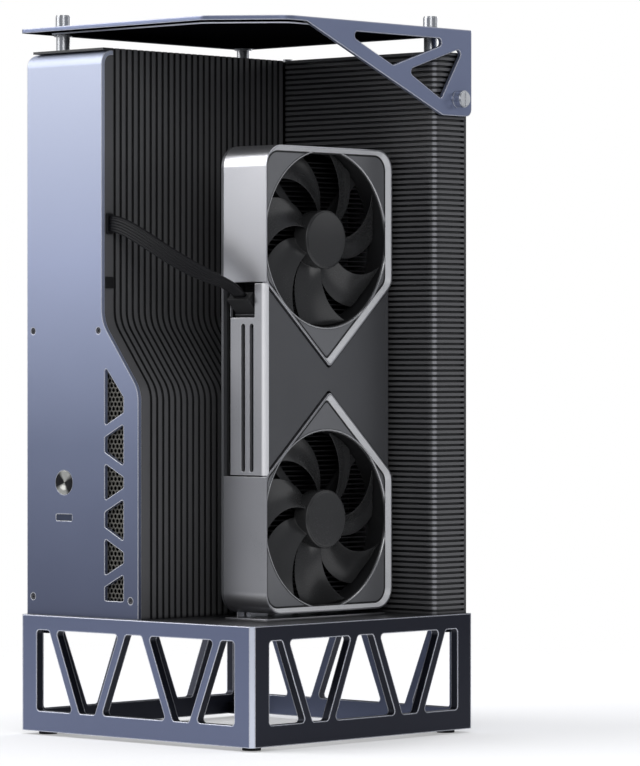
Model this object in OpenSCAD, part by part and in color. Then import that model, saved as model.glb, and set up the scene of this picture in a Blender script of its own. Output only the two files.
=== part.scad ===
// Expansion chassis: an open stand with a power tower, a dock tower, an upright
// two-fan card between them and a clamped top plate.
// Millimetres. +Z is up, the fascia faces -Y and the card's fans face +X.
// Pieces are drawn about the base's centre, then placed about the chassis's own centre,
// because the thumbscrew makes it wider on one side.

/* [Base] */
// Width of the base and of the top plate
base_w = 212; // [206:1:240]
// Depth of the base and of the top plate
base_d = 212; // [210:1:240]
// Height of the open side panels
base_h = 76.3; // [70:0.1:90]
// Height of the rubber feet
foot_h = 2.6; // [2:0.1:6]
// Thickness of a side panel
panel_t = 6; // [5:0.5:8]
// Thickness of the deck that the towers stand on
deck_t = 3; // [2:0.5:5]
// Width of the bevelled corner strips
bevel_w = 3; // [2:0.5:5]
// Rail left below the openings of a side panel
low_rail = 13.4; // [10:0.2:18]
// Rail left above the openings of a side panel
high_rail = 9.6; // [7:0.2:14]
// Margin left at the ends of a side panel
end_rail = 15.6; // [14:0.2:20]
// Width of a sloping brace, measured level
brace_w = 6.2; // [4:0.2:9]
// Distance that a brace leans over its height
brace_lean = 22; // [16:1:24]
// Corner radius of the openings
opening_r = 2.5; // [1.5:0.1:3.5]

/* [Towers] */
// Height of the towers above the deck
tower_h = 371.1; // [365:0.1:400]
// Distance from the base's edge to the towers
tower_inset = 3.3; // [2:0.1:5]
// Width of the power tower at the top
neck_w = 70; // [64:0.5:76]
// Width of the power tower at the bottom
body_w = 103.7; // [101:0.1:108]
// Height of the lower knee of the power tower above the deck
knee_low_h = 148.5; // [144:0.5:154]
// Height of the slope between the two knees
knee_run = 44.2; // [40:0.1:50]
// Radius of the two knees
knee_r = 22; // [16:1:26]
// Depth of the dock tower
dock_d = 31.5; // [30:0.5:36]
// Radius of the dock tower's outer corner
dock_corner_r = 6.6; // [5:0.1:9]
// Depth of the ribs on both towers
rib_depth = 1.6; // [1:0.1:2]
// Wall left behind the ribs
rib_wall = 1.8; // [1.4:0.1:2.4]
// Spacing of the upright ribs on the power tower
side_rib_pitch = 5.35; // [4.5:0.05:7]
// Width of an upright rib
side_rib_w = 3.2; // [2.4:0.1:3.8]
// Spacing of the level ribs on the dock tower
dock_rib_pitch = 3.5; // [3.2:0.1:6]
// Width of a level rib
dock_rib_w = 1.9; // [1.4:0.1:2.2]
// Thickness of the plain covers
cover_t = 2; // [1.5:0.1:2.4]

/* [Fascia] */
// Thickness of the fascia
fascia_t = 3; // [2.5:0.1:3.4]
// Radius of the bend over the top of the fascia
hood_r = 9; // [6:0.5:10]
// Reach of the fascia over the tower's top
hood_reach = 10.7; // [10:0.1:14]
// Thickness of the black lid that lies on the hood
lid_t = 1.6; // [1:0.1:2.2]
// Radius of the power button
button_r = 7.75; // [6:0.05:9]
// Height of the power button above the deck
button_h = 87.6; // [80:0.1:100]
// Distance of the power button from the fascia's left edge
button_in = 35; // [25:0.5:40]
// Travel of the power button
button_travel = 1.5; // [1:0.1:1.6]
// Width of the status light
light_w = 14.7; // [10:0.1:18]
// Height of the status light
light_h = 3.9; // [3:0.1:5]
// Drop from the power button to the status light
light_drop = 22.9; // [18:0.1:26]
// Width of the column of vent windows
vent_w = 17.5; // [14:0.5:19]
// Spacing of the pairs of struts between vent windows
vent_pitch = 48.7; // [46:0.1:50]
// Upright thickness of a strut between vent windows
vent_strut = 7.3; // [5:0.1:9]
// Spacing of the holes in the mesh behind the vent
mesh_pitch = 3.5; // [3.4:0.1:6]

/* [Card] */
// Length of the card, which stands upright
card_len = 302.4; // [300:0.1:306]
// Width of the card
card_w = 121; // [120:0.1:124]
// Thickness of the card
card_t = 40.1; // [39:0.1:42]
// Corner radius of the card
card_r = 14; // [8:0.5:16]
// Width of the bright lip round each fan
rim_w = 1; // [0.8:0.1:2]
// Distance of a fan's centre from the card's near end
fan_in = 60; // [59:0.1:62]
// Radius of a fan's bore
fan_bore_r = 57.2; // [54:0.1:57.3]
// Radius over the blades of a fan
fan_tip_r = 56.2; // [50:0.1:56.6]
// Radius of a fan's hub
fan_hub_r = 18.6; // [15:0.1:22]
// Number of blades of a fan
fan_blades = 7; // [7:1:11]
// Spacing of the cooling fins
fin_pitch = 3.2; // [2.6:0.1:5]
// Thickness of a cooling fin
fin_t = 0.8; // [0.5:0.1:1.2]

/* [Top] */
// Gap between the towers and the top plate
plate_gap = 12.5; // [10:0.5:18]
// Thickness of the top plate
plate_t = 2.8; // [2:0.1:4]
// Length that the cut corner takes from the front edge
cut_w = 43.6; // [30:0.5:50]
// Length that the cut corner takes from the side edge
cut_d = 33.5; // [25:0.5:40]
// Distance of the posts from the plate's edges
post_in = 20; // [18:0.5:24]
// Radius of a post
post_r = 4.5; // [3.5:0.1:6]
// Drop of the bracket below the plate's top
bracket_drop = 57.2; // [52:0.1:64]
// Radius of the thumbscrew's head
thumb_r = 5.65; // [4.5:0.05:7]
// Length that the thumbscrew and its washer stand out
thumb_reach = 7.2; // [6:0.1:10]
// Travel of the thumbscrew when it is undone
thumb_travel = 2.1; // [1.4:0.1:2.8]

/* [Power lead] */
// Width of the flat power lead
lead_w = 11; // [8:0.5:12]
// Thickness of the flat power lead
lead_t = 3.4; // [2.6:0.1:4]
// Tilt of the plug on the card's edge, in degrees
plug_tilt = 45; // [38:1:50]

/* [Hidden] */
$fn = 64;

// Shared clearances and sizes
slop = 0.2; // gap between neighbouring pieces
run_fit = 0.05; // radial clearance of a shaft in its bore
over = 1; // overrun of every cut
edge_r = 0.8; // small rounding of outer edges
frame_x = -thumb_reach / 2; // shift from the base's centre to the chassis's centre

// Main planes
x_left = -base_w / 2 + tower_inset;
x_right = base_w / 2 - tower_inset;
y_front = -base_d / 2 + tower_inset;
y_rear = base_d / 2 - tower_inset;
z_panel = foot_h;
z_deck = foot_h + base_h;
z_top = z_deck + tower_h;
z_hood = z_top - lid_t;
z_plate = z_top + plate_gap;
x_neck = x_left + neck_w;
x_body = x_left + body_w;
y_dock = y_rear - dock_d;
y_cover = y_front + fascia_t;
knee_high_h = knee_low_h + knee_run;
knee_angle = atan((body_w - neck_w) / knee_run);
wall = rib_wall + rib_depth;

// Base
bevel_leg = bevel_w / sqrt(2);
key_w = 14; // side of the square corner block
brace_shares = [0.099, 0.711]; // places of the braces' tops along half a panel
foot_r = 6;
foot_peg_r = 2;
foot_peg_h = 4;
deck_screw_r = 2;
deck_head_r = 3.6;
deck_head_h = 2;
deck_screw_l = 10;

// Power tower
margin_w = 7.8; // smooth margin of the ribbed cover behind the fascia
screw_r = 1.25;
head_r = 2.15;
head_h = 1.4;
screw_sink = 0.5;
screw_l = 6;
tab_t = 4; // screw tabs behind the fascia
tab_w = 6;
screw_in = 5.6; // screws from the fascia's left edge
screw_low_h = 12.1; // lower screws above the deck
screw_high_h = 187; // upper screws above the deck
screw_low_x = 7; // lower right screw from the body's edge
screw_high_x = 3; // upper right screw from the neck's edge
fascia_corner_r = 4;
vent_in = 30.8; // left edge of the vent windows from the body's edge
vent_x = x_body - vent_in;
vent_low_h = 11.5; // lower end of the vent above the deck
vent_left_shares = [0.257, 0.908]; // left ends of the two struts of a pair, as shares of the pitch
vent_right_shares = [0.437, 0.727]; // right ends of the two struts
vent_top_left = 164.4; // top window's height at its left edge
vent_top_right = 143.7; // top window's height at its right edge
vent_r = 1.4;
mesh_t = 0.8;
mesh_hole_r = 1.45;
mesh_margin = 2.7;
mesh_top_run = 26;

// Power button, status light and their board
button_proud = 0.3;
button_cap_t = 4;
button_flange_r = 9;
button_flange_t = 1;
button_dish_r = 6;
button_dish_h = 0.5;
stem_r = 2;
light_flange = 1.2;
light_sink = 0.3;
board_t = 1.6;
board_gap = 8; // fascia's back to the switch board
board_w = 26;
board_rise = 14;
board_fall = 32;
board_post_r = 2.5;
tact_w = 6;

// Left shell and power tower's rear
lip_w = 9;
grille_r = 54;
grille_slots = 13;
grille_slot_w = 4.4;
cap_t = 2.6;
cap_sink = 0.4;
lid_in = 1.6; // lid's front edge behind the fascia's face
tie_r = 3.2;
tie_h = 2;
tie_in = 60.1; // tie bolt from the tower's left face
tie_rear = 18.1; // tie bolt from the tower's rear face
tie_stem_r = 1.6;

// Power supply
psu_w = 86;
psu_over = 1.5; // supply above the lower knee
psu_h = knee_low_h + psu_over;
psu_room = 45.4; // from the fascia to the front of the supply
psu_in = 5.7; // from the tower's left face
psu_fan_r = 58;
psu_fan_depth = 26;
psu_bore_r = 60;
psu_hub_r = 20;
psu_blades = 9;
psu_blade_t = 1.6;
psu_blade_pitch = 38; // degrees
psu_blade_w = 22;
psu_shaft_r = 2;
psu_shaft_l = 10;
guard_wire_r = 0.8;
guard_ring_shares = [0.38, 0.587, 0.793, 1]; // of the fan's radius
guard_arms = 4;
psu_screw_in = 6;
psu_rim = 3;
psu_vent_slots = 14;
psu_slot_w = 3;
psu_wall = 1.5;
psu_arm_t = 3;
psu_arm_w = 16;
psu_vent_gap = 10; // vent slots below the inlet

// Mains inlet with its switch
inlet_w = 28;
inlet_h = 50;
inlet_d = 18;
inlet_lip = 1.6;
inlet_lip_t = 1.5;
inlet_drop = 66; // inlet's lower edge below the supply's top
socket_w = 24;
socket_h = 17.5;
socket_depth = 15;
socket_cut = 4;
socket_up = 13; // socket's centre above the inlet's lower edge
blade_w = 4;
blade_t = 2;
blade_l = 12;
blade_x = 7;
rock_w = 17;
rock_h = 11.4;
rock_t = 4;
rock_up = 37; // rocker's centre above the inlet's lower edge
rock_gap = 0.6;
rock_depth = 9;
rock_pin_r = 1;
rock_pin_l = 1.5;
rock_tilt = 7; // degrees
rock_pivot = 4.4; // pivot below the inlet's face
rock_dish = 1;

// Power lead: its grommet and plug
grommet_flange = 1;
flange_w = 1;
lead_high_h = 256.6; // lead's exit above the deck
lead_in = 3.9; // lead's centre behind the fascia
spare_w = 6.6;
spare_drop = 38.4; // from the lead down to the spare outlet
spare_proud = 0.6;
plug_w = 19;
plug_t = 7;
plug_l = 13;
nose_w = 17.6;
nose_t = 5.2;
nose_l = 5.8;
block_w = 20.8;
block_t = 8.4;
block_l = 9;
socket_foot_l = 4;
lead_cut = 1.1; // bevel on the lead's edges
lead_out_run = 27; // straight pull at the grommet
lead_in_run = 23; // straight pull at the plug
lead_shares = [0.86, 0.08, 0.9]; // place of the middle control between the lead's ends

// Dock tower
dock_flank = 0.25;
slot_w = 7.6;
slot_cut_gap = 1.2;
slot_sink = 1.8; // card slot's mouth behind the dock tower's front
dock_board_t = 1.6;
dock_board_gap = 15; // main board to the rear panel
dock_board_in = 14;
dock_board_low = 16;
dock_board_high = 20;
standoff_r = 3;
standoff_in = 8;
latch_w = 3.8;
latch_t = 3;
latch_l = 12;
latch_ear_l = 7;
latch_pin_r = 1;
sink_w = 40;
sink_l = 52;
sink_base = 2.4;
sink_h = 7.6;
sink_fins = 11;
sink_up = 190;
sink_in = 14;
port_w = 9.2;
port_h = 3.4;
port_depth = 7;
port_up = 60;
port_pitch = 16;
port_in = 28;
rear_vent_slots = 16;
rear_slot_share = 0.62; // of the pitch
rear_vent_l = 60;
rear_vent_up = 220;

// Card
card_low = 4.1; // card's lower end above the deck
card_x_gap = 29.5; // power tower to the card's back
card_y_gap = 6.2; // card to the dock tower
x_card = x_body + card_x_gap;
x_face = x_card + card_t;
y_card_far = y_dock - card_y_gap;
y_card = y_card_far - card_w;
y_mid = y_card + card_w / 2;
z_card = z_deck + card_low;
z_card_top = z_card + card_len;
z_fans = [z_card + fan_in, z_card_top - fan_in];
backplate_t = 2;
shroud_t = 2.5;
pcb_t = 1.6;
x_pcb = x_card + backplate_t;
x_fin = x_pcb + pcb_t;
fin_base_t = 2;
x_duct = x_card + 21.5;
x_seat = x_face - 4.6; // where the face pieces seat on the duct
inlay_sink = 3.2;
centre_sink = 1.2;
chevron_gap = 1.2;
tip_gap = 8.2; // from the card's middle to each chevron's tip
shoulder_run = 62.4; // from the card's middle to each shoulder
chevron_slope = (shoulder_run - tip_gap) / (card_w / 2);
tip_r = 2.5;
shoulder_r = 12;
inlay_bore_r = 58.7;
joint_gap = 0.6;
z_mid = z_card + card_len / 2;
rail_back = 4.1; // the rails start this far in front of the board
rail_front_r = 2.2;
rail_step = 2.6;
pocket_w = 21.9;
pocket_h = 22;
pocket_from_face = 10.3;
side_slot_w = 3.4;
side_slot_l = 95.4;
side_slot_in = 13.1; // first slot from the card's face
side_slot_pitch = 7.5;
side_slot_low = 2.2;
fin_near = 18; // fins kept clear of the near edge
fin_low = 11; // fins kept clear of the lower end
fin_high = 8; // fins kept clear of the upper end
mount_t = 3;
mount_r = 15;
mount_arms = 4;
mount_arm_w = 6;
shaft_r = 2;
shaft_l = 9;
hub_back = 0.6;
hub_l = 10.4;
hub_cap_r = 17.6;
hub_cap_h = 0.8;
hub_cavity_r = 15.5;
hub_cavity_l = 7;
blade_front = 0.9;
blade_depth = 8.6;
blade_thick = 1.2;
blade_sweep = 30; // degrees from root to tip
blade_span = 33; // degrees covered by one blade
finger_len = 85;
finger_up = 55;
finger_reach = 14;
finger_key_w = 2;
finger_key_up = 13;
bracket_t = 1;
bracket_in = 4;
bracket_tab_h = 12;
bracket_tab_w = 6;
bracket_x = 37;
vent_hole_w = 3;
display_w = 16.8;
display_t = 5.6;
display_pitch = 23;
display_l = 16;
display_out = 2.2;
display_cup = 8;
display_wall = 0.6;

// Top plate
plate_corner_r = 3;
cut_corner_r = 12;
pad_t = 0.8;
pad_in = 14;
ring_r = 6;
ring_h = 1.4;
stud_r = 2.5;
stud_l = 6;
cap_screw_r = 4.95;
cap_screw_h = 9.2;
hex_r = 2.4;
hex_h = 4;
bracket_front = 50.3; // bracket's front end behind the plate's front edge
bracket_rear = 1.8; // bracket's rear edge from the plate's rear edge
bracket_foot = 28.4; // length of the bracket's lower edge
bracket_r = 5;
window_r = 2.8;
thumb_in = 16; // thumbscrew from the rear edge
thumb_low = 46.3; // thumbscrew below the plate's top
washer_t = 0.8;
thumb_shaft_r = 2;
thumb_shaft_l = 12;
thumb_teeth = 30;
thumb_tooth = 0.35;
thumb_groove = 0.4;

x_bracket = base_w / 2 - plate_t;
y_bracket = -base_d / 2 + bracket_front;
y_bracket_end = base_d / 2 - bracket_rear;
z_roof = z_plate + plate_t;
y_thumb = base_d / 2 - thumb_in;
z_thumb = z_roof - thumb_low;
post_x = base_w / 2 - post_in;
post_y = base_d / 2 - post_in;
post_places = [[-post_x, -post_y], [-post_x, post_y], [post_x, post_y]];
post_z = [z_top, z_plate - pad_t];

// Power lead's route, from the grommet to the plug
y_lead = y_cover + lead_in;
z_lead = z_deck + lead_high_h;
x_socket = x_face - pocket_from_face - pocket_w / 2;
z_pocket = z_mid + shoulder_run - joint_gap - pocket_h;
socket_mouth = [x_socket, y_card + 7, z_pocket + 4.8];
plug_out = [0, -sin(plug_tilt), cos(plug_tilt)];
lead_start = [x_neck + grommet_flange, y_lead, z_lead];
lead_end = socket_mouth + plug_l * plug_out;
lead_span = lead_end - lead_start;
lead_controls = [
  lead_start, lead_start + [lead_out_run, 0, 0],
  lead_start + [for (i = [0:2]) lead_shares[i] * lead_span[i]],
  lead_end + lead_in_run * plug_out, lead_end
];
lead_steps = 18;
function bezier(c, t) =
  len(c) == 1 ? c[0] : bezier([for (i = [0:len(c) - 2]) c[i] * (1 - t) + c[i + 1] * t], t);
lead_route = [for (i = [0:lead_steps]) bezier(lead_controls, i / lead_steps)];

// Blocks and rods
module slab(x, y, z) {
  translate([x[0], y[0], z[0]]) cube([x[1] - x[0], y[1] - y[0], z[1] - z[0]]);
}
module rod_x(x, y, z, r) {
  translate([x[0], y, z]) rotate([0, 90, 0]) cylinder(r = r, h = x[1] - x[0]);
}
module rod_y(x, y, z, r) {
  translate([x, y[0], z]) rotate([-90, 0, 0]) cylinder(r = r, h = y[1] - y[0]);
}
module rod_z(x, y, z, r) {
  translate([x, y, z[0]]) cylinder(r = r, h = z[1] - z[0]);
}
// Outline drawn in y and z, carried along x
module along_x(x) {
  translate([x[0], 0, 0]) rotate([90, 0, 90]) linear_extrude(x[1] - x[0]) children();
}
// Outline drawn in x and z, carried along y
module along_y(y) {
  translate([0, y[1], 0]) rotate([90, 0, 0]) linear_extrude(y[1] - y[0]) children();
}
// Outline drawn in x and y, carried along z
module along_z(z) {
  translate([0, 0, z[0]]) linear_extrude(z[1] - z[0]) children();
}

// Outline with a true arc of its own radius at each corner
function unit(v) = v / norm(v);
module arc_cap(corner, start, end, centre, r) {
  intersection() {
    polygon([start, corner, end]);
    translate(centre) circle(r = r);
  }
}
module rounded(p, r) {
  n = len(p);
  back = [for (i = [0:n - 1]) unit(p[(i + n - 1) % n] - p[i])];
  ahead = [for (i = [0:n - 1]) unit(p[(i + 1) % n] - p[i])];
  half = [for (i = [0:n - 1]) acos(back[i] * ahead[i]) / 2];
  start = [for (i = [0:n - 1]) p[i] + back[i] * r[i] / tan(half[i])];
  end = [for (i = [0:n - 1]) p[i] + ahead[i] * r[i] / tan(half[i])];
  mid = [for (i = [0:n - 1]) p[i] + unit(back[i] + ahead[i]) * r[i] / sin(half[i])];
  turn = [for (i = [0:n - 1]) cross(-back[i], ahead[i])];
  difference() {
    union() {
      polygon([for (i = [0:n - 1]) each (r[i] > 0 ? [start[i], end[i]] : [p[i]])]);
      for (i = [0:n - 1])
        if (r[i] > 0 && turn[i] > 0) arc_cap(p[i], start[i], end[i], mid[i], r[i]);
    }
    for (i = [0:n - 1])
      if (r[i] > 0 && turn[i] < 0) arc_cap(p[i], start[i], end[i], mid[i], r[i]);
  }
}
// Rectangle between two opposite corners, with the same radius at its four corners
module rounded_rect(a, b, r) {
  rounded([a, [b[0], a[1]], b, [a[0], b[1]]], [r, r, r, r]);
}
// The power tower's outline up to its kneed right side, moved in by an offset
module kneed(inset, left, low, high) {
  drop = inset * tan(knee_angle / 2);
  rounded(
    [
      [left, low], [x_body - inset, low],
      [x_body - inset, z_deck + knee_low_h - drop],
      [x_neck - inset, z_deck + knee_high_h - drop],
      [x_neck - inset, high], [left, high]
    ],
    [0, 0, knee_r - inset, knee_r + inset, 0, 0]
  );
}

// Placement of the whole chassis about its own centre
module placed() {
  translate([frame_x, 0, 0]) children();
}

// Opening of a side panel: low left, low right, top right, top left
module truss_opening(x) {
  z = [z_panel + low_rail, z_deck - high_rail];
  rounded(
    [[x[0], z[0]], [x[1], z[0]], [x[2], z[1]], [x[3], z[1]]],
    [opening_r, opening_r, opening_r, opening_r]
  );
}
// Side panel along the front edge, of a given length and depth
module side_panel(length, depth) {
  end = length / 2 - bevel_leg;
  face = -depth / 2;
  inner = brace_shares[0] * length / 2;
  outer = brace_shares[1] * length / 2;
  side = length / 2 - end_rail;
  half = brace_w / 2;
  difference() {
    along_z([z_panel, z_deck])
      polygon([
        [-end, face], [end, face],
        [end - panel_t, face + panel_t], [-end + panel_t, face + panel_t]
      ]);
    along_y([face - over, face + panel_t + over]) {
      low = inner + brace_lean;
      truss_opening([-low + half, low - half, inner - half, -inner + half]);
      for (s = [-1, 1]) {
        near = outer - brace_lean;
        x = [low + half, near - half, outer - half, inner + half];
        if (s > 0) truss_opening(x);
        else truss_opening([-x[1], -x[0], -x[3], -x[2]]);
        y = [near + half, side, side, outer + half];
        if (s > 0) truss_opening(y);
        else truss_opening([-y[1], -y[0], -y[3], -y[2]]);
      }
    }
  }
}
module base_front_panel() {
  color("#5f6a8c") side_panel(base_w, base_d);
}
module base_rear_panel() {
  color("#5f6a8c") rotate([0, 0, 180]) side_panel(base_w, base_d);
}
module base_right_panel() {
  color("#2b3148") rotate([0, 0, 90]) side_panel(base_d, base_w);
}
module base_left_panel() {
  color("#2b3148") rotate([0, 0, -90]) side_panel(base_d, base_w);
}

// Bevelled strips in the mitres, each with two blocks that join the panels
module corner_key(sx, sy) {
  x = base_w / 2;
  y = base_d / 2;
  difference() {
    union() {
      along_z([z_panel, z_deck])
        polygon([
          [sx * (x - bevel_leg), sy * y], [sx * x, sy * (y - bevel_leg)],
          [sx * (x - panel_t), sy * (y - bevel_leg - panel_t)],
          [sx * (x - panel_t), sy * (y - panel_t)],
          [sx * (x - bevel_leg - panel_t), sy * (y - panel_t)]
        ]);
      for (z = [[z_panel, z_panel + 2 * foot_peg_h], [z_deck - deck_screw_l - 2 * over, z_deck - deck_t]])
        along_z(z) polygon([
          [sx * (x - panel_t), sy * (y - panel_t)],
          [sx * (x - panel_t - key_w), sy * (y - panel_t)],
          [sx * (x - panel_t - key_w), sy * (y - panel_t - key_w)],
          [sx * (x - panel_t), sy * (y - panel_t - key_w)]
        ]);
    }
    rod_z(sx * key_x(), sy * key_y(), [z_deck - deck_screw_l - over, z_deck + over], deck_screw_r);
    rod_z(sx * key_x(), sy * key_y(), [z_panel - over, z_panel + foot_peg_h], foot_peg_r);
  }
}
function key_x() = base_w / 2 - panel_t - key_w / 2;
function key_y() = base_d / 2 - panel_t - key_w / 2;
module each_corner() {
  for (sx = [-1, 1], sy = [-1, 1]) translate([sx * key_x(), sy * key_y(), 0]) children();
}
module base_corners() {
  color("#c9d0e4") for (sx = [-1, 1], sy = [-1, 1]) corner_key(sx, sy);
}
module rubber_feet() {
  color("#1c1c1e") each_corner() {
    cylinder(r = foot_r, h = foot_h);
    cylinder(r = foot_peg_r - run_fit, h = foot_h + foot_peg_h - slop);
  }
}
// Deck between the panels, open under the card for its display plugs
module base_deck() {
  x = base_w / 2 - panel_t;
  y = base_d / 2 - panel_t;
  color("#232428") difference() {
    slab([-x, x], [-y, y], [z_deck - deck_t, z_deck]);
    slab(bracket_window_x(), bracket_window_y(), [z_deck - deck_t - over, z_deck + over]);
    for (sx = [-1, 1], sy = [-1, 1]) {
      rod_z(sx * key_x(), sy * key_y(), [z_deck - deck_t - over, z_deck + over], deck_screw_r + slop);
      rod_z(
        sx * key_x(), sy * key_y(),
        [z_deck - deck_head_h, z_deck + over], deck_head_r + slop
      );
    }
  }
}
function bracket_window_x() = [x_card + backplate_t, x_card + backplate_t + display_t + 2 * over + 2 * slop];
bracket_half = 2 * display_pitch + bracket_tab_w / 2 + over + slop;
function bracket_window_y() = [y_mid - bracket_half, y_mid + bracket_half];
module deck_screws() {
  color("#3a3b40") each_corner() difference() {
    union() {
      rod_z(0, 0, [z_deck - deck_head_h, z_deck - slop], deck_head_r);
      rod_z(0, 0, [z_deck - deck_screw_l, z_deck - deck_head_h], deck_screw_r - run_fit);
    }
    rod_z(0, 0, [z_deck - deck_head_h + slop * 2, z_deck + over], deck_screw_r);
  }
}

// Fascia: a plate that bends over the tower's top, with the button, light and vent in it
screw_places = [
  [x_left + screw_in, z_deck + screw_high_h], [x_neck - screw_high_x, z_deck + screw_high_h],
  [x_left + screw_in, z_deck + screw_low_h], [x_body - screw_low_x, z_deck + screw_low_h]
];
x_button = x_left + button_in;
z_button = z_deck + button_h;
z_light = z_button - light_drop;
z_vent = z_deck + vent_low_h;
vent_right = vent_x + vent_w;
// Heights of a strut's ends: the first or second strut of a pair
function strut(pair, kind) =
  z_vent * [1, 1] + vent_pitch * [vent_left_shares[kind] + pair, vent_right_shares[kind] + pair];
vent_struts = [strut(0, 0), strut(0, 1), strut(1, 0), strut(1, 1), strut(2, 0)];
module vent_windows() {
  gap = vent_strut / 2;
  bottoms = [[z_vent, z_vent], for (s = vent_struts) s + [gap, gap]];
  tops = [
    for (s = vent_struts) s - [gap, gap],
    [z_deck + vent_top_left, z_deck + vent_top_right]
  ];
  for (i = [0:len(bottoms) - 1])
    rounded(
      [
        [vent_x, bottoms[i][0]], [vent_right, bottoms[i][1]],
        [vent_right, tops[i][1]], [vent_x, tops[i][0]]
      ],
      [vent_r, vent_r, vent_r, vent_r]
    );
}
module front_fascia() {
  color("#8f9bbd") difference() {
    intersection() {
      along_x([x_left, x_body])
        rounded(
          [
            [y_front, z_deck], [y_cover, z_deck], [y_cover, z_hood - fascia_t],
            [y_front + hood_reach, z_hood - fascia_t], [y_front + hood_reach, z_hood],
            [y_front, z_hood]
          ],
          [0, 0, hood_r - fascia_t, 0, 0, hood_r]
        );
      along_y([y_front - over, y_front + hood_reach + over]) difference() {
        kneed(0, x_left, z_deck, z_hood);
        translate([0, -lid_t]) fascia_corner();
      }
    }
    along_y([y_front - over, y_cover + over]) {
      vent_windows();
      translate([x_button, z_button]) circle(r = button_r + slop);
      rounded_rect(
        [x_button - light_w / 2 - slop, z_light - light_h / 2 - slop],
        [x_button + light_w / 2 + slop, z_light + light_h / 2 + slop],
        edge_r
      );
      for (p = screw_places) translate(p) circle(r = screw_r + slop);
    }
    for (p = screw_places)
      rod_y(p[0], [y_front - over, y_front + screw_sink + head_h], p[1], head_r + slop / 2);
  }
}
module fascia_corner() {
  difference() {
    translate([x_left - over, z_top - fascia_corner_r])
      square([fascia_corner_r + over, fascia_corner_r + over]);
    translate([x_left + fascia_corner_r, z_top - fascia_corner_r]) circle(r = fascia_corner_r);
  }
}
module fascia_screws() {
  head = [y_front + screw_sink, y_front + screw_sink + head_h];
  color("#b8bdc8") for (p = screw_places) difference() {
    union() {
      rod_y(p[0], head, p[1], head_r);
      rod_y(p[0], [head[1], head[1] + screw_l - head_h], p[1], screw_r);
    }
    translate([p[0], head[0] - over, p[1]]) rotate([-90, 0, 0])
      cylinder(r = screw_r, h = over + head_h / 2, $fn = 6);
  }
}
module vent_mesh() {
  left = vent_x - mesh_margin;
  right = vent_right + mesh_margin;
  low = z_vent - mesh_margin;
  high = z_deck + vent_top_right + mesh_margin / 2;
  row = mesh_pitch * sqrt(3) / 2;
  holes = floor((right - left - mesh_pitch) / mesh_pitch);
  rows = floor((high + mesh_top_run - low - mesh_pitch) / row);
  slope = mesh_top_run / (right - left);
  color("#26272b") along_y([y_cover, y_cover + mesh_t]) difference() {
    polygon([[left, low], [right, low], [right, high], [left, high + mesh_top_run]]);
    for (j = [0:rows - 1], i = [0:holes - 1]) {
      x = left + mesh_pitch * (i + 0.75 + (j % 2) / 2);
      z = low + row * (j + 1);
      if (z < high + (right - x) * slope - mesh_pitch)
        translate([x, z]) rotate(30) circle(r = mesh_hole_r, $fn = 6);
    }
  }
}
module power_button() {
  face = y_front - button_proud;
  back = y_cover + slop;
  color("#b9bcc4") difference() {
    union() {
      rod_y(x_button, [face, back], z_button, button_r);
      rod_y(x_button, [back, back + button_flange_t], z_button, button_flange_r);
      rod_y(x_button, [back, y_cover + board_gap - tact_w / 2 - button_travel], z_button, stem_r);
    }
    translate([x_button, face, z_button]) rotate([-90, 0, 0])
      translate([0, 0, -slop]) cylinder(r1 = button_dish_r, r2 = stem_r, h = button_dish_h + slop);
  }
}
// Small board on two posts behind the fascia, with the switch under the button
module switch_board() {
  y = y_cover + board_gap;
  color("#1f4d38") {
    slab(
      [x_button - board_w / 2, x_button + board_w / 2], [y, y + board_t],
      [z_button - board_fall, z_button + board_rise]
    );
    slab(
      [x_button - tact_w / 2, x_button + tact_w / 2], [y - tact_w / 2 + slop, y],
      [z_button - tact_w / 2, z_button + tact_w / 2]
    );
    for (s = [-1, 1])
      rod_y(
        x_button + s * (board_w / 2 - board_post_r), [y_cover, y],
        z_button - board_fall + board_post_r, board_post_r
      );
  }
}
module status_light() {
  w = light_w / 2;
  h = light_h / 2;
  color("#44506e") {
    along_y([y_front + light_sink, y_cover])
      rounded_rect([x_button - w, z_light - h], [x_button + w, z_light + h], edge_r);
    slab(
      [x_button - w - light_flange, x_button + w + light_flange], [y_cover, y_cover + light_flange],
      [z_light - h - light_flange, z_light + h + light_flange]
    );
  }
}

// Left wall of the power tower, with an air intake over the supply's fan
x_psu = x_left + psu_in;
y_psu = y_front + psu_room;
psu_d = y_rear - cover_t - y_psu;
y_psu_fan = y_psu + psu_d / 2;
z_psu_fan = z_deck + psu_h / 2;
module intake_slots(x) {
  pitch = 2 * grille_r / grille_slots;
  along_x(x) for (i = [0:grille_slots - 1]) {
    y = (i - (grille_slots - 1) / 2) * pitch;
    half = sqrt(pow(grille_r, 2) - pow(y, 2)) - grille_slot_w / 2;
    translate([y_psu_fan + y, z_psu_fan]) {
      translate([-grille_slot_w / 2, -half]) square([grille_slot_w, 2 * half]);
      for (s = [-1, 1]) translate([0, s * half]) circle(r = grille_slot_w / 2);
    }
  }
}
module left_shell() {
  inner = x_left + cover_t;
  rear = y_rear - cover_t;
  color("#26272a") difference() {
    union() {
      slab([x_left, inner], [y_cover, rear], [z_deck, z_top]);
      slab([inner, inner + lip_w], [y_cover, y_cover + tab_t], [z_deck, z_top - hood_r]);
    }
    intake_slots([x_left - over, inner + over]);
    for (p = screw_places)
      rod_y(p[0], [y_cover - over, y_cover + tab_t + over], p[1], screw_r + run_fit);
    along_y([y_cover - over, y_rear + over]) fascia_corner();
    hood_clear();
  }
}

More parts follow.
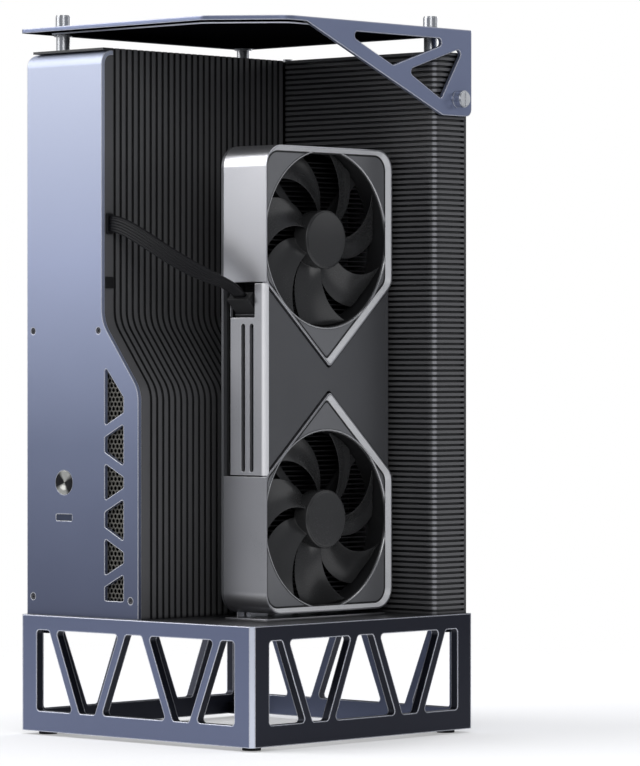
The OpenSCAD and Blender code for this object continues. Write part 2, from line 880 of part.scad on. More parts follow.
// Kneed right wall of the power tower, with upright ribs behind a smooth margin
y_ribs = y_cover + margin_w;
side_ribs = floor((y_dock - y_ribs - side_rib_w) / side_rib_pitch);
side_rib_gap = (y_dock - y_ribs - side_ribs * side_rib_w) / (side_ribs + 1);
rib_step = side_rib_w + side_rib_gap;
module kneed_band(out, in) {
  difference() {
    kneed(out, x_left, z_deck, z_top);
    kneed(in, x_left - over, z_deck - over, z_top + over);
  }
}
module ribbed_side_cover() {
  color("#2a2b2d") difference() {
    union() {
      along_y([y_cover, y_ribs]) kneed_band(0, wall);
      along_y([y_ribs, y_dock - slop]) kneed_band(rib_depth, wall);
      for (i = [1:side_ribs]) {
        y = y_ribs + i * rib_step - side_rib_w;
        along_y([y, y + side_rib_w]) kneed_band(0, rib_depth + rib_wall / 2);
      }
      for (p = [screw_places[1], screw_places[3]]) intersection() {
        slab([p[0] - tab_w / 2, x_body], [y_cover, y_cover + tab_t], [p[1] - tab_w, p[1] + tab_w]);
        along_y([y_front, y_ribs]) kneed(wall - slop, x_left, z_deck - over, z_top);
      }
    }
    for (p = screw_places)
      rod_y(p[0], [y_cover - over, y_cover + tab_t + over], p[1], screw_r + run_fit);
    slab(
      [x_neck - wall - over, x_neck + over], [y_lead - grommet_t() / 2, y_lead + grommet_t() / 2],
      [z_lead - grommet_w() / 2, z_lead + grommet_w() / 2]
    );
    slab(
      [x_neck - wall - over, x_neck + over], [y_lead - spare_w / 2, y_lead + spare_w / 2],
      [z_spare() - spare_w / 2, z_spare() + spare_w / 2]
    );
    hood_clear();
  }
}
function grommet_t() = lead_t + 2 * flange_w - 2 * slop;
function grommet_w() = lead_w + 2 * flange_w - 2 * slop;
function z_spare() = z_lead - spare_drop;
// Room for the fascia's bent hood at the top of the covers behind it
module hood_clear() {
  far = y_front + hood_reach;
  low = z_hood - 2 * hood_r;
  high = z_hood - fascia_t - slop;
  along_x([x_left - over, x_body + over]) difference() {
    slab_outline([y_front - over, z_hood - hood_r], [far + slop, z_top + over]);
    rounded(
      [[y_cover, low], [far + over, low], [far + over, high], [y_cover, high]],
      [0, 0, 0, hood_r - fascia_t]
    );
  }
}
module power_tower_cap() {
  y = [y_front + hood_reach + slop, y_rear - cover_t - slop];
  color("#1b1c1f") difference() {
    union() {
      slab(
        [x_left + cover_t + slop, x_neck - wall - slop], y,
        [z_top - cap_sink - cap_t, z_top - cap_sink]
      );
      slab(
        [x_left + fascia_corner_r, x_neck], [y_front + lid_in, y[0] - slop / 2],
        [z_hood, z_top]
      );
      slab(
        [x_left + fascia_corner_r, x_neck - wall - slop], [y_front + hood_reach - over, y[0] + over],
        [z_hood, z_top - cap_sink]
      );
      for (p = [post_places[0], post_places[1]])
        rod_z(p[0], p[1], [z_top - cap_sink, z_top], ring_r);
      rod_z(x_left + tie_in, y_rear - tie_rear, [z_top - cap_sink, z_top], tie_r);
    }
    for (p = [post_places[0], post_places[1]])
      rod_z(p[0], p[1], [z_top - cap_sink - cap_t - over, z_top + over], stud_r + run_fit);
    rod_z(
      x_left + tie_in, y_rear - tie_rear,
      [z_top - cap_sink - cap_t - over, z_top + over], tie_stem_r + run_fit
    );
  }
}
module tower_tie_bolt() {
  x = x_left + tie_in;
  y = y_rear - tie_rear;
  color("#c4c7cc") difference() {
    union() {
      rod_z(x, y, [z_top, z_top + tie_h], tie_r);
      rod_z(x, y, [z_top - stud_l, z_top], tie_stem_r);
    }
    translate([x, y, z_top + tie_h / 2]) cylinder(r = tie_stem_r, h = tie_h, $fn = 6);
  }
}
// Rear wall of the power tower, open over the supply's own rear face
module power_rear_panel() {
  color("#2a2b2d") along_y([y_rear - cover_t, y_rear]) difference() {
    kneed(0, x_left, z_deck, z_top);
    fascia_corner();
    rounded_rect(
      [x_psu + psu_rim, z_deck + psu_rim],
      [x_psu + psu_w - psu_rim, z_deck + psu_h - psu_rim],
      vent_r
    );
  }
}

// Power supply: a case with a bore for its fan on the left
x_psu_back = x_psu + psu_fan_depth;
psu_holes = [
  for (x = [x_psu + psu_screw_in + psu_rim, x_psu + psu_w - psu_screw_in - psu_rim],
    z = [z_deck + psu_screw_in + psu_rim, z_deck + psu_h - psu_screw_in - psu_rim])
    [x, z]
];
x_inlet = x_psu + psu_w / 2;
z_inlet = z_deck + psu_h - inlet_drop;
module psu_case() {
  face = y_psu + psu_d;
  arm = [x_psu_back, x_psu_back + psu_arm_t];
  half = psu_arm_w / 2;
  color("#303136") {
    difference() {
      slab([x_psu, x_psu + psu_w], [y_psu, face], [z_deck, z_deck + psu_h]);
      slab(
        [x_psu + psu_wall, x_psu + psu_w - psu_wall], [y_psu + psu_wall, face - psu_wall],
        [z_deck + psu_wall, z_deck + psu_h - psu_wall]
      );
      rod_x([x_psu - over, x_psu_back], y_psu_fan, z_psu_fan, psu_bore_r);
      slab(
        [x_inlet - inlet_w / 2, x_inlet + inlet_w / 2], [face - inlet_d, face + over],
        [z_inlet, z_inlet + inlet_h]
      );
      for (i = [0:psu_vent_slots - 1]) {
        span = psu_w - 2 * psu_screw_in - 2 * psu_rim;
        x = x_inlet + (i - (psu_vent_slots - 1) / 2) * span / psu_vent_slots;
        slab(
          [x - psu_slot_w / 2, x + psu_slot_w / 2], [face - 2 * psu_wall, face + over],
          [z_deck + psu_rim * 2, z_inlet - inlet_lip - psu_vent_gap]
        );
      }
      for (p = psu_holes) rod_y(p[0], [face - screw_l, face + over], p[1], screw_r + run_fit);
    }
    slab(arm, [y_psu + slop, face - slop], [z_psu_fan - half, z_psu_fan + half]);
    slab(arm, [y_psu_fan - half, y_psu_fan + half], [z_deck + slop, z_deck + psu_h - slop]);
    rod_x([x_psu_back - psu_shaft_l, x_psu_back + over], y_psu_fan, z_psu_fan, psu_shaft_r);
  }
}
module psu_fan_stage() {
  translate([0, y_psu_fan, z_psu_fan]) children();
}
module psu_fan() {
  x = [x_psu + 2 * guard_wire_r + slop, x_psu_back - slop];
  mid = (x[0] + x[1]) / 2;
  color("#1d1e20") psu_fan_stage() difference() {
    union() {
      rod_x(x, 0, 0, psu_hub_r);
      for (i = [0:psu_blades - 1]) rotate([360 * i / psu_blades, 0, 0]) intersection() {
        translate([mid, 0, psu_hub_r - over]) rotate([0, 0, psu_blade_pitch])
          translate([-psu_blade_w / 2, -psu_blade_t / 2, 0])
            cube([psu_blade_w, psu_blade_t, psu_fan_r]);
        rod_x([x[0] + over, x[1] - over], 0, 0, psu_fan_r);
      }
    }
    rod_x([x_psu_back - psu_shaft_l - slop, x_psu_back + over], 0, 0, psu_shaft_r + run_fit);
  }
}
// Wire guard over the supply's fan
module psu_fan_guard() {
  x = x_psu + guard_wire_r;
  inner = guard_ring_shares[0] * psu_fan_r;
  color("#c2c5cb") psu_fan_stage() {
    for (s = guard_ring_shares) translate([x, 0, 0]) rotate([0, 90, 0])
      rotate_extrude() translate([s * psu_fan_r, 0]) circle(r = guard_wire_r, $fn = 16);
    for (i = [0:guard_arms - 1]) rotate([360 * i / guard_arms + 45, 0, 0])
      translate([x, 0, inner])
        cylinder(r = guard_wire_r * 0.9, h = psu_bore_r - inner, $fn = 16);
  }
}
module power_inlet() {
  face = y_psu + psu_d;
  depth = [face + inlet_lip_t - socket_depth, face + inlet_lip_t + over];
  z_socket = z_inlet + socket_up;
  z_rock = z_inlet + rock_up;
  color("#17181a") {
    difference() {
      union() {
        slab(
          [x_inlet - inlet_w / 2 + slop, x_inlet + inlet_w / 2 - slop], [face - inlet_d + slop, face],
          [z_inlet + slop, z_inlet + inlet_h - slop]
        );
        slab(
          [x_inlet - inlet_w / 2 - inlet_lip, x_inlet + inlet_w / 2 + inlet_lip],
          [face, face + inlet_lip_t],
          [z_inlet - inlet_lip, z_inlet + inlet_h + inlet_lip]
        );
      }
      along_y(depth) polygon([
        [x_inlet - socket_w / 2, z_socket - socket_h / 2],
        [x_inlet + socket_w / 2, z_socket - socket_h / 2],
        [x_inlet + socket_w / 2, z_socket + socket_h / 2 - socket_cut],
        [x_inlet + socket_w / 2 - socket_cut, z_socket + socket_h / 2],
        [x_inlet - socket_w / 2 + socket_cut, z_socket + socket_h / 2],
        [x_inlet - socket_w / 2, z_socket + socket_h / 2 - socket_cut]
      ]);
      slab(
        [x_inlet - rock_w / 2 - rock_gap, x_inlet + rock_w / 2 + rock_gap],
        [face + inlet_lip_t - rock_depth, face + inlet_lip_t + over],
        [z_rock - rock_h / 2 - rock_gap, z_rock + rock_h / 2 + rock_gap]
      );
      rod_z(
        x_inlet, face + inlet_lip_t - rock_pivot,
        [z_rock - rock_h / 2 - rock_pin_l - slop, z_rock + rock_h / 2 + rock_pin_l + slop],
        rock_pin_r + run_fit
      );
    }
    for (p = [[-blade_x, blade_t / 2], [blade_x, blade_t / 2], [0, blade_t * 2.5]])
      slab(
        [x_inlet + p[0] - blade_w / 2, x_inlet + p[0] + blade_w / 2],
        [depth[0] - slop, depth[0] + blade_l],
        [z_socket + p[1] - blade_t / 2, z_socket + p[1] + blade_t / 2]
      );
  }
}
module power_rocker() {
  z = z_inlet + rock_up;
  half = rock_w / 2 - rock_gap / 2;
  top = rock_pivot - rock_gap;
  color("#0f1011") translate([x_inlet, y_psu + psu_d + inlet_lip_t - rock_pivot, z]) {
    rotate([0, 0, rock_tilt]) translate([0, 0, -rock_h / 2]) linear_extrude(rock_h)
      polygon([
        [-half, top - rock_t], [half, top - rock_t], [half, top + rock_dish],
        [0, top], [-half, top + rock_dish]
      ]);
    rod_z(0, 0, [-rock_h / 2 - rock_pin_l, rock_h / 2 + rock_pin_l], rock_pin_r);
  }
}
module psu_screws() {
  face = y_psu + psu_d;
  color("#6b6e75") for (p = psu_holes) difference() {
    union() {
      rod_y(p[0], [face, face + head_h], p[1], head_r * 1.3);
      rod_y(p[0], [face - screw_l + slop, face], p[1], screw_r);
    }
    translate([p[0], face + head_h / 2, p[1]]) rotate([-90, 0, 0])
      cylinder(r = screw_r, h = head_h, $fn = 6);
  }
}

// Power lead from the cover's margin to the card, with what holds its ends
module lead_grommet() {
  x = x_neck;
  t = grommet_t() / 2;
  w = grommet_w() / 2;
  color("#151517") {
    slab([x - wall, x], [y_lead - t + slop, y_lead + t - slop], [z_lead - w + slop, z_lead + w - slop]);
    slab(
      [x, x + grommet_flange],
      [y_lead - lead_t / 2 - flange_w, y_lead + lead_t / 2 + flange_w],
      [z_lead - lead_w / 2 - flange_w, z_lead + lead_w / 2 + flange_w]
    );
  }
}
module spare_outlet_plug() {
  h = spare_w / 2;
  z = z_spare();
  color("#151517") {
    slab(
      [x_neck - wall, x_neck], [y_lead - h + slop, y_lead + h - slop], [z - h + slop, z + h - slop]
    );
    slab(
      [x_neck, x_neck + spare_proud], [y_lead - h - slop, y_lead + h + slop],
      [z - h - slop, z + h + slop]
    );
  }
}
// Ring of the lead, whose width turns from upright to level
function lead_ring(p, dir, share) =
  let (
    want = [share, 0, 1 - share],
    across = unit(want - (want * dir) * dir),
    up = cross(dir, across),
    w = lead_w / 2,
    t = lead_t / 2,
    c = lead_cut
  )
  [
    for (q = [
      [w, -t + c], [w, t - c], [w - c, t], [-w + c, t],
      [-w, t - c], [-w, -t + c], [-w + c, -t], [w - c, -t]
    ]) p + q[0] * across + q[1] * up
  ];
module power_lead() {
  n = len(lead_route);
  sides = 8;
  last = (n - 1) * sides;
  dirs = [
    for (i = [0:n - 1])
      i == 0 ? [1, 0, 0] : i == n - 1 ? -plug_out : unit(lead_route[i + 1] - lead_route[i - 1])
  ];
  rings = [for (i = [0:n - 1]) each lead_ring(lead_route[i], dirs[i], i / (n - 1))];
  walls = [
    for (i = [0:n - 2], j = [0:sides - 1])
      let (a = i * sides + j, b = i * sides + (j + 1) % sides, c = a + sides, d = b + sides)
      each [[a, b, d], [a, d, c]]
  ];
  ends = [
    for (j = [1:sides - 2]) each [[0, j + 1, j], [last, last + j, last + j + 1]]
  ];
  color("#202123") polyhedron(rings, [for (f = concat(walls, ends)) [f[0], f[2], f[1]]]);
}
module on_plug() {
  translate(socket_mouth) rotate([plug_tilt, 0, 0]) children();
}
module lead_plug() {
  color("#121214") on_plug() {
    slab([-plug_w / 2, plug_w / 2], [-plug_t / 2, plug_t / 2], [0, plug_l]);
    slab([-nose_w / 2, nose_w / 2], [-nose_t / 2, nose_t / 2], [-nose_l, 0]);
  }
}
module card_socket() {
  color("#39393c") on_plug() {
    difference() {
      slab(
        [-block_w / 2, block_w / 2], [-block_t / 2, block_t / 2],
        [-block_l, 0]
      );
      slab(
        [-nose_w / 2 - slop, nose_w / 2 + slop], [-nose_t / 2 - slop, nose_t / 2 + slop],
        [-nose_l - slop, over]
      );
    }
    slab(
      [x_fin - x_socket, -block_w / 2], [-block_t / 2, block_t / 2],
      [-block_l, -block_l + socket_foot_l]
    );
  }
}

// Dock tower: level ribs on the front and round the outer corner
dock_ribs = floor((tower_h - dock_rib_w) / dock_rib_pitch);
dock_rib_step = (tower_h - dock_rib_w) / dock_ribs;
// Comb outline: d is the depth from the ribs' crests, z the height
module comb(sign, at) {
  function d(v) = at + sign * v;
  polygon([
    [d(wall), z_deck],
    for (i = [0:dock_ribs])
      let (z = z_deck + i * dock_rib_step)
      each (
        i < dock_ribs ?
          [
            [d(0), z], [d(0), z + dock_rib_w],
            [d(rib_depth), z + dock_rib_w + dock_flank], [d(rib_depth), z + dock_rib_step - dock_flank]
          ] :
          [[d(0), z], [d(0), z + dock_rib_w]]
      ),
    [d(wall), z_top]
  ]);
}
y_slot = y_dock + slot_sink;
x_slot = x_pcb + pcb_t / 2;
z_fingers = z_card + finger_up;
slot_len = finger_len + 2 * over + 2 * slop;
module dock_front_cover() {
  corner_x = x_right - dock_corner_r;
  corner_y = y_dock + dock_corner_r;
  color("#2a2b2d") difference() {
    union() {
      intersection() {
        along_x([x_neck, corner_x]) comb(1, y_dock);
        along_y([y_dock - over, y_dock + wall + over]) difference() {
          slab_outline([x_neck, z_deck - over], [x_right, z_top + over]);
          kneed(-slop, x_left, z_deck - 2 * over, z_top + 2 * over);
        }
      }
      translate([corner_x, corner_y, 0]) rotate([0, 0, -90]) rotate_extrude(angle = 90)
        comb(-1, dock_corner_r);
      along_y([corner_y, y_rear - cover_t]) comb(-1, x_right);
    }
    slab(
      [x_slot - slot_w / 2 - slot_cut_gap, x_slot + slot_w / 2 + slot_cut_gap],
      [y_dock - over, y_dock + wall + over],
      [z_fingers - 3 * over, z_fingers + slot_len + 2 * latch_l]
    );
    rod_x([x_right - wall - over, x_right + over], y_thumb, z_thumb, thumb_shaft_r + run_fit);
  }
}
module slab_outline(a, b) {
  translate(a) square(b - a);
}
function port_heights() = [for (i = [0:2]) port_up + i * port_pitch];
module dock_rear_panel() {
  x = [x_neck, x_right];
  color("#2a2b2d") along_y([y_rear - cover_t, y_rear]) difference() {
    slab_outline([x[0], z_deck], [x[1], z_top]);
    kneed(-slop, x_left, z_deck - over, z_top + over);
    for (z = port_heights())
      slab_outline(
        [x_right - port_in - port_w / 2 - slop, z_deck + z - port_h / 2 - slop],
        [x_right - port_in + port_w / 2 + slop, z_deck + z + port_h / 2 + slop]
      );
    for (i = [0:rear_vent_slots - 1]) {
      pitch = (x_right - x_body - 4 * tab_w) / rear_vent_slots;
      left = x_body + 2 * tab_w + i * pitch;
      slab_outline(
        [left, z_deck + rear_vent_up], [left + rear_slot_share * pitch, z_deck + rear_vent_up + rear_vent_l]
      );
    }
  }
}
module dock_tower_cap() {
  r = dock_corner_r - wall - slop;
  a = [x_neck - wall, y_dock + wall + slop];
  b = [x_right - wall - slop, y_rear - cover_t - slop];
  color("#1b1c1f") difference() {
    union() {
      along_z([z_top - cap_sink - cap_t, z_top - cap_sink])
        rounded([a, [b[0], a[1]], b, [a[0], b[1]]], [0, r, 0, 0]);
      rod_z(post_x, post_y, [z_top - cap_sink, z_top], ring_r);
    }
    rod_z(post_x, post_y, [z_top - cap_sink - cap_t - over, z_top + over], stud_r + run_fit);
  }
}

// Main board with the card slot in front and the ports behind
y_board = y_rear - cover_t - dock_board_gap - dock_board_t;
main_x = [x_body + dock_board_gap / 2, x_right - dock_board_in];
main_z = [z_deck + dock_board_low, z_top - dock_board_high];
module main_board() {
  color("#16402f") slab(main_x, [y_board, y_board + dock_board_t], main_z);
}
module board_standoffs() {
  color("#b79a54")
    for (x = main_x + [standoff_in, -standoff_in], z = main_z + [standoff_in, -standoff_in])
      rod_y(x, [y_board + dock_board_t, y_rear - cover_t], z, standoff_r);
}
latch_pin = [y_board - latch_pin_r * 2.5, z_fingers + slot_len + latch_t / 2];
module card_slot() {
  z = [z_fingers - over - slop, z_fingers - over - slop + slot_len];
  w = slot_w / 2;
  color("#151517") difference() {
    union() {
      slab([x_slot - w, x_slot + w], [y_slot, y_board], z);
      for (s = [-1, 1]) {
        a = x_slot + s * (latch_w / 2 + slop);
        b = x_slot + s * w;
        slab([min(a, b), max(a, b)], [y_board - latch_ear_l, y_board], [z[1] - slop, z[1] + latch_ear_l]);
      }
    }
    slab(
      [x_slot - pcb_t / 2 - slop, x_slot + pcb_t / 2 + slop],
      [y_slot - over, y_card_far + finger_reach + slop],
      [z_fingers - slop, z_fingers + finger_len + slop]
    );
    rod_x([x_slot - w - over, x_slot + w + over], latch_pin[0], latch_pin[1], latch_pin_r + run_fit);
  }
}
module slot_latch() {
  y = latch_pin[0];
  z = latch_pin[1];
  color("#8a8d93") {
    rod_x([x_slot - slot_w / 2, x_slot + slot_w / 2], y, z, latch_pin_r);
    along_x([x_slot - latch_w / 2 + slop, x_slot + latch_w / 2 - slop]) {
      translate([y, z]) circle(r = latch_t / 2);
      translate([y - latch_l, z - latch_t / 2]) square([latch_l, latch_t]);
      translate([y - latch_l, z - latch_t / 2]) square([latch_t, latch_t * 2]);
    }
  }
}
module chip_heatsink() {
  x = [main_x[1] - sink_in - sink_w, main_x[1] - sink_in];
  z = [z_deck + sink_up, z_deck + sink_up + sink_l];
  pitch = sink_w / sink_fins;
  color("#6d7076") along_z(z) polygon([
    [x[0], y_board], [x[0], y_board - sink_h],
    for (i = [1:sink_fins - 1])
      let (at = x[0] + i * pitch)
      each [
        [at - pitch * 0.6, y_board - sink_h], [at - pitch * 0.6, y_board - sink_base],
        [at, y_board - sink_base], [at, y_board - sink_h]
      ],
    [x[1], y_board - sink_h], [x[1], y_board]
  ]);
}
module rear_ports() {
  x = x_right - port_in;
  color("#a5a8ad") for (up = port_heights()) {
    z = z_deck + up;
    difference() {
      along_y([y_board + dock_board_t, y_rear])
        rounded_rect(
          [x - port_w / 2, z - port_h / 2], [x + port_w / 2, z + port_h / 2], port_h / 2 - slop
        );
      along_y([y_rear - port_depth, y_rear + over])
        rounded_rect(
          [x - port_w / 2 + slop * 2, z - port_h / 2 + slop * 2],
          [x + port_w / 2 - slop * 2, z + port_h / 2 - slop * 2], port_h / 2 - slop * 3
        );
    }
  }
}

// Card: outlines in y and z
module card_outline(inset) {
  rounded_rect(
    [y_card + inset, z_card + inset], [y_card_far - inset, z_card_top - inset], card_r - inset
  );
}
// Outline of the upper fan's rim, moved in: straight sides, a round top and a point below
module house(inset) {
  slant = inset * sqrt(1 + pow(chevron_slope, 2));
  half = card_w / 2 - inset;
  tip = z_mid + tip_gap + slant;
  shoulder = tip + half * chevron_slope;
  top = z_card_top - inset;
  rounded(
    [
      [y_mid, tip], [y_mid + half, shoulder], [y_mid + half, top],
      [y_mid - half, top], [y_mid - half, shoulder]
    ],
    [tip_r, shoulder_r - inset, card_r - inset, card_r - inset, shoulder_r - inset]
  );
}
// The card's upper half turned into its lower half
module lower_half() {
  translate([0, 0, 2 * z_mid]) mirror([0, 0, 1]) children();
}
module card_backplate() {
  color("#5b5d62") along_x([x_card, x_pcb]) card_outline(0);
}
module card_board() {
  y = [y_card + shroud_t + over, y_card_far - shroud_t - over];
  z = [z_card + shroud_t + over, z_card_top - shroud_t - over];
  c = card_r / 2;
  color("#12251d") along_x([x_pcb, x_fin]) {
    polygon([
      [y[0] + c, z[0]], [y[1] - c, z[0]], [y[1], z[0] + c], [y[1], z[1] - c],
      [y[1] - c, z[1]], [y[0] + c, z[1]], [y[0], z[1] - c], [y[0], z[0] + c]
    ]);
    difference() {
      slab_outline([y[1] - over, z_fingers], [y_card_far + finger_reach, z_fingers + finger_len]);
      slab_outline(
        [y_slot, z_fingers + finger_key_up],
        [y_card_far + finger_reach + over, z_fingers + finger_key_up + finger_key_w]
      );
    }
  }
}
// Stack of thin level fins on a base plate
module card_fin_stack() {
  z0 = z_card + fin_low;
  count = floor((card_len - fin_low - fin_high - fin_t) / fin_pitch);
  high = z0 + count * fin_pitch + fin_t;
  color("#9a9da2") along_y([y_card + fin_near, y_card_far - rail_step - shroud_t - slop]) polygon([
    [x_fin, z0],
    for (i = [0:count])
      let (z = z0 + i * fin_pitch)
      each (
        i < count ?
          [
            [x_duct, z], [x_duct, z + fin_t],
            [x_fin + fin_base_t, z + fin_t], [x_fin + fin_base_t, z + fin_pitch]
          ] :
          [[x_duct, z], [x_duct, z + fin_t]]
      ),
    [x_fin, high]
  ]);
}
module card_fan_duct() {
  rail = shoulder_run - joint_gap + slop;
  color("#17181a") along_x([x_duct, x_seat]) difference() {
    card_outline(shroud_t + slop);
    for (z = z_fans) translate([y_mid, z]) circle(r = fan_bore_r, $fn = 128);
    slab_outline([y_card, z_pocket - over], [y_card + block_l, z_pocket + pocket_h + over]);
    slab_outline([y_card, z_pocket - plug_t], [y_card + fin_near, z_pocket + plug_l]);
    slab_outline([y_card_far - rail_step - shroud_t - slop, z_mid - rail], [y_card_far, z_mid + rail]);
  }
}
module each_fan() {
  for (z = z_fans) translate([0, y_mid, z]) children();
}
module card_fan_mounts() {
  color("#17181a") each_fan() {
    rod_x([x_duct, x_duct + mount_t], 0, 0, mount_r);
    rod_x([x_duct + mount_t, x_duct + mount_t + shaft_l], 0, 0, shaft_r);
    for (i = [0:mount_arms - 1]) rotate([360 * i / mount_arms + 45, 0, 0])
      slab(
        [x_duct + slop, x_duct + mount_t - slop], [-mount_arm_w / 2, mount_arm_w / 2],
        [mount_r - over, fan_bore_r - over]
      );
  }
}
// Fan blade: a thin curved plate that sweeps from hub to tip
function blade_point(r, chord, side, sweep) =
  let (
    angle = sweep + (chord - 0.5) * blade_span,
    lift = blade_depth * (1 - chord) - blade_depth * 0.35 * sin(180 * chord) * 0.6
  )
  [lift + side * blade_thick / 2, r * sin(angle), r * cos(angle)];
module fan_blade() {
  stations = 6;
  steps = 4;
  per = 2 * (steps + 1);
  radii = [for (i = [0:stations]) fan_hub_r - over + (fan_tip_r - fan_hub_r + over) * i / stations];
  sweeps = [for (i = [0:stations]) -blade_sweep * pow(i / stations, 1.4)];
  points = [
    for (i = [0:stations]) each concat(
      [for (j = [0:steps]) blade_point(radii[i], j / steps, 1, sweeps[i])],
      [for (j = [steps:-1:0]) blade_point(radii[i], j / steps, -1, sweeps[i])]
    )
  ];
  walls = [
    for (i = [0:stations - 1], j = [0:per - 1])
      let (a = i * per + j, b = i * per + (j + 1) % per, c = a + per, d = b + per)
      each [[a, b, d], [a, d, c]]
  ];
  last = stations * per;
  ends = [
    for (j = [0:steps - 1])
      let (a = j, b = j + 1, c = per - 2 - j, d = per - 1 - j)
      each [
        [a, c, b], [a, d, c],
        [last + a, last + b, last + c], [last + a, last + c, last + d]
      ]
  ];
  polyhedron(points, [for (f = concat(walls, ends)) [f[0], f[2], f[1]]]);
}
module card_fan() {
  x0 = x_duct + mount_t + hub_back;
  color("#1e1f21") {
    difference() {
      union() {
        rod_x([x0, x0 + hub_l], 0, 0, fan_hub_r);
        rod_x([x0 + hub_l, x0 + hub_l + hub_cap_h], 0, 0, hub_cap_r);
      }
      rod_x([x0 - over, x0 + shaft_l], 0, 0, shaft_r + run_fit);
    }
    for (i = [0:fan_blades - 1]) rotate([360 * i / fan_blades, 0, 0])
      translate([x0 + blade_front, 0, 0]) fan_blade();
  }
}
module upper_fan() {
  translate([0, y_mid, z_fans[1]]) card_fan();
}
module lower_fan() {
  translate([0, y_mid, z_fans[0]]) card_fan();
}
// End cap: a wall round the end and a lip that runs down to a point
module end_cap() {
  joint = z_mid + shoulder_run - joint_gap / 2 + joint_gap;
  difference() {
    end_cap_walls(joint);
    along_x([x_seat - slop, x_face + over]) house(rim_w);
  }
}
module end_cap_walls(joint) {
  union() {
    along_x([x_pcb, x_face]) difference() {
      intersection() {
        card_outline(0);
        slab_outline([y_card - over, joint], [y_card_far + over, z_card_top + over]);
      }
      card_outline(shroud_t);
    }
    along_x([x_seat, x_face]) house(0);
  }
}
module card_upper_cap() {
  color("#c9cacd") end_cap();
}
module card_lower_cap() {
  color("#c9cacd") difference() {
    lower_half() end_cap();
    slab(
      [x_pcb - over, x_fin + slop], [y_card_far - shroud_t - over, y_card_far + over],
      [z_fingers - over, z_card_top]
    );
    slab(
      [x_pcb - over, x_fin + display_t + 2 * slop],
      bracket_window_y(), [z_card - over, z_card + shroud_t + over]
    );
  }
}
// Middle of the near edge, with the socket's pocket and two slots
module card_side_rail() {
  z = [z_mid - shoulder_run + joint_gap, z_mid + shoulder_run - joint_gap];
  color("#b9bbc0") difference() {
    along_z(z) rounded(
      [
        [x_fin + rail_back, y_card], [x_face, y_card],
        [x_face, y_card + shroud_t], [x_fin + rail_back, y_card + shroud_t]
      ],
      [edge_r, rail_front_r, 0, 0]
    );
    along_y([y_card - over, y_card + shroud_t + over]) {
      rounded_rect(
        [x_socket - pocket_w / 2, z_pocket], [x_socket + pocket_w / 2, z[1] + over], edge_r
      );
      for (x = [side_slot_in, side_slot_in + side_slot_pitch])
        rounded_rect(
          [x_face - x - side_slot_w / 2, z[0] + side_slot_low],
          [x_face - x + side_slot_w / 2, z[0] + side_slot_low + side_slot_l],
          side_slot_w / 2 - slop
        );
    }
    rim_clear();
  }
}
// Room for the two rims in front of the rails
module rim_clear() {
  module rim() {
    along_x([x_seat - slop, x_face + over]) house(-slop);
  }
  rim();
  lower_half() rim();
}
module card_slot_rail() {
  y = y_card_far - rail_step;
  color("#4a4b4f") difference() {
    slab(
      [x_fin + rail_back, x_face - centre_sink], [y - shroud_t, y],
      [z_mid - shoulder_run + joint_gap, z_mid + shoulder_run - joint_gap]
    );
    rim_clear();
  }
}
// Dark middle of the face, shaped like an hourglass laid on its side
module card_centre_face() {
  a = y_card + shroud_t + slop;
  b = y_card_far - rail_step - shroud_t - slop;
  slant = chevron_gap * sqrt(1 + pow(chevron_slope, 2));
  function top(y) = tip_gap - slant + abs(y - y_mid) * chevron_slope;
  color("#4a4b4e") along_x([x_seat, x_face - centre_sink]) rounded(
    [
      [a, z_mid - top(a)], [y_mid, z_mid - top(y_mid)], [b, z_mid - top(b)],
      [b, z_mid + top(b)], [y_mid, z_mid + top(y_mid)], [a, z_mid + top(a)]
    ],
    [0, tip_r, 0, 0, tip_r, 0]
  );
}
// Dark inlays that each round opening leaves inside its rim
module corner_inlays() {
  along_x([x_seat, x_face - inlay_sink]) difference() {
    house(rim_w + slop);
    translate([y_mid, z_fans[1]]) circle(r = inlay_bore_r, $fn = 128);
  }
}
module card_corner_inlays() {
  color("#46474a") {
    corner_inlays();
    lower_half() corner_inlays();
  }
}
// Bracket at the card's lower end, standing on the deck, with the ports through it
module card_bracket() {
  y = [y_card + bracket_in, y_card_far - bracket_in];
  color("#b4b7bc") difference() {
    union() {
      slab([x_card, x_card + bracket_x], y, [z_deck, z_deck + bracket_t]);
      for (s = [-1, 1]) translate([x_fin, y_mid + s * (bracket_half - slop - bracket_tab_w / 2), z_deck])
        slab([0, bracket_t], [-bracket_tab_w / 2, bracket_tab_w / 2], [0, bracket_tab_h]);
    }
    for (i = [0:3]) display_place(i)
      slab(
        [-slop, display_t + slop], [-display_w / 2 - slop, display_w / 2 + slop],
        [z_deck - over, z_deck + bracket_t + over]
      );
    for (i = [0:7]) {
      at = y[0] + (y[1] - y[0]) * (i + 1) / 9;
      slab(
        [x_card + bracket_x * 0.4, x_card + bracket_x * 0.85], [at - vent_hole_w / 2, at + vent_hole_w / 2],
        [z_deck - over, z_deck + bracket_t + over]
      );
    }
  }
}
module display_place(i) {
  translate([x_fin, y_mid + (i - 1.5) * display_pitch, 0]) children();
}
module display_ports() {
  color("#8f9297") for (i = [0:3]) display_place(i) difference() {
    slab(
      [0, display_t], [-display_w / 2, display_w / 2],
      [z_deck - display_out, z_deck - display_out + display_l]
    );
    slab(
      [display_wall, display_t - display_wall], [-display_w / 2 + display_wall, display_w / 2 - display_wall],
      [z_deck - display_out - over, z_deck - display_out + display_cup]
    );
  }
  color("#16171a") for (i = [0:3]) display_place(i)
    slab(
      [display_t * 0.4, display_t * 0.6], [-display_w * 0.4, display_w * 0.4],
      [z_deck - display_out + slop, z_deck - display_out + display_cup]
    );
}

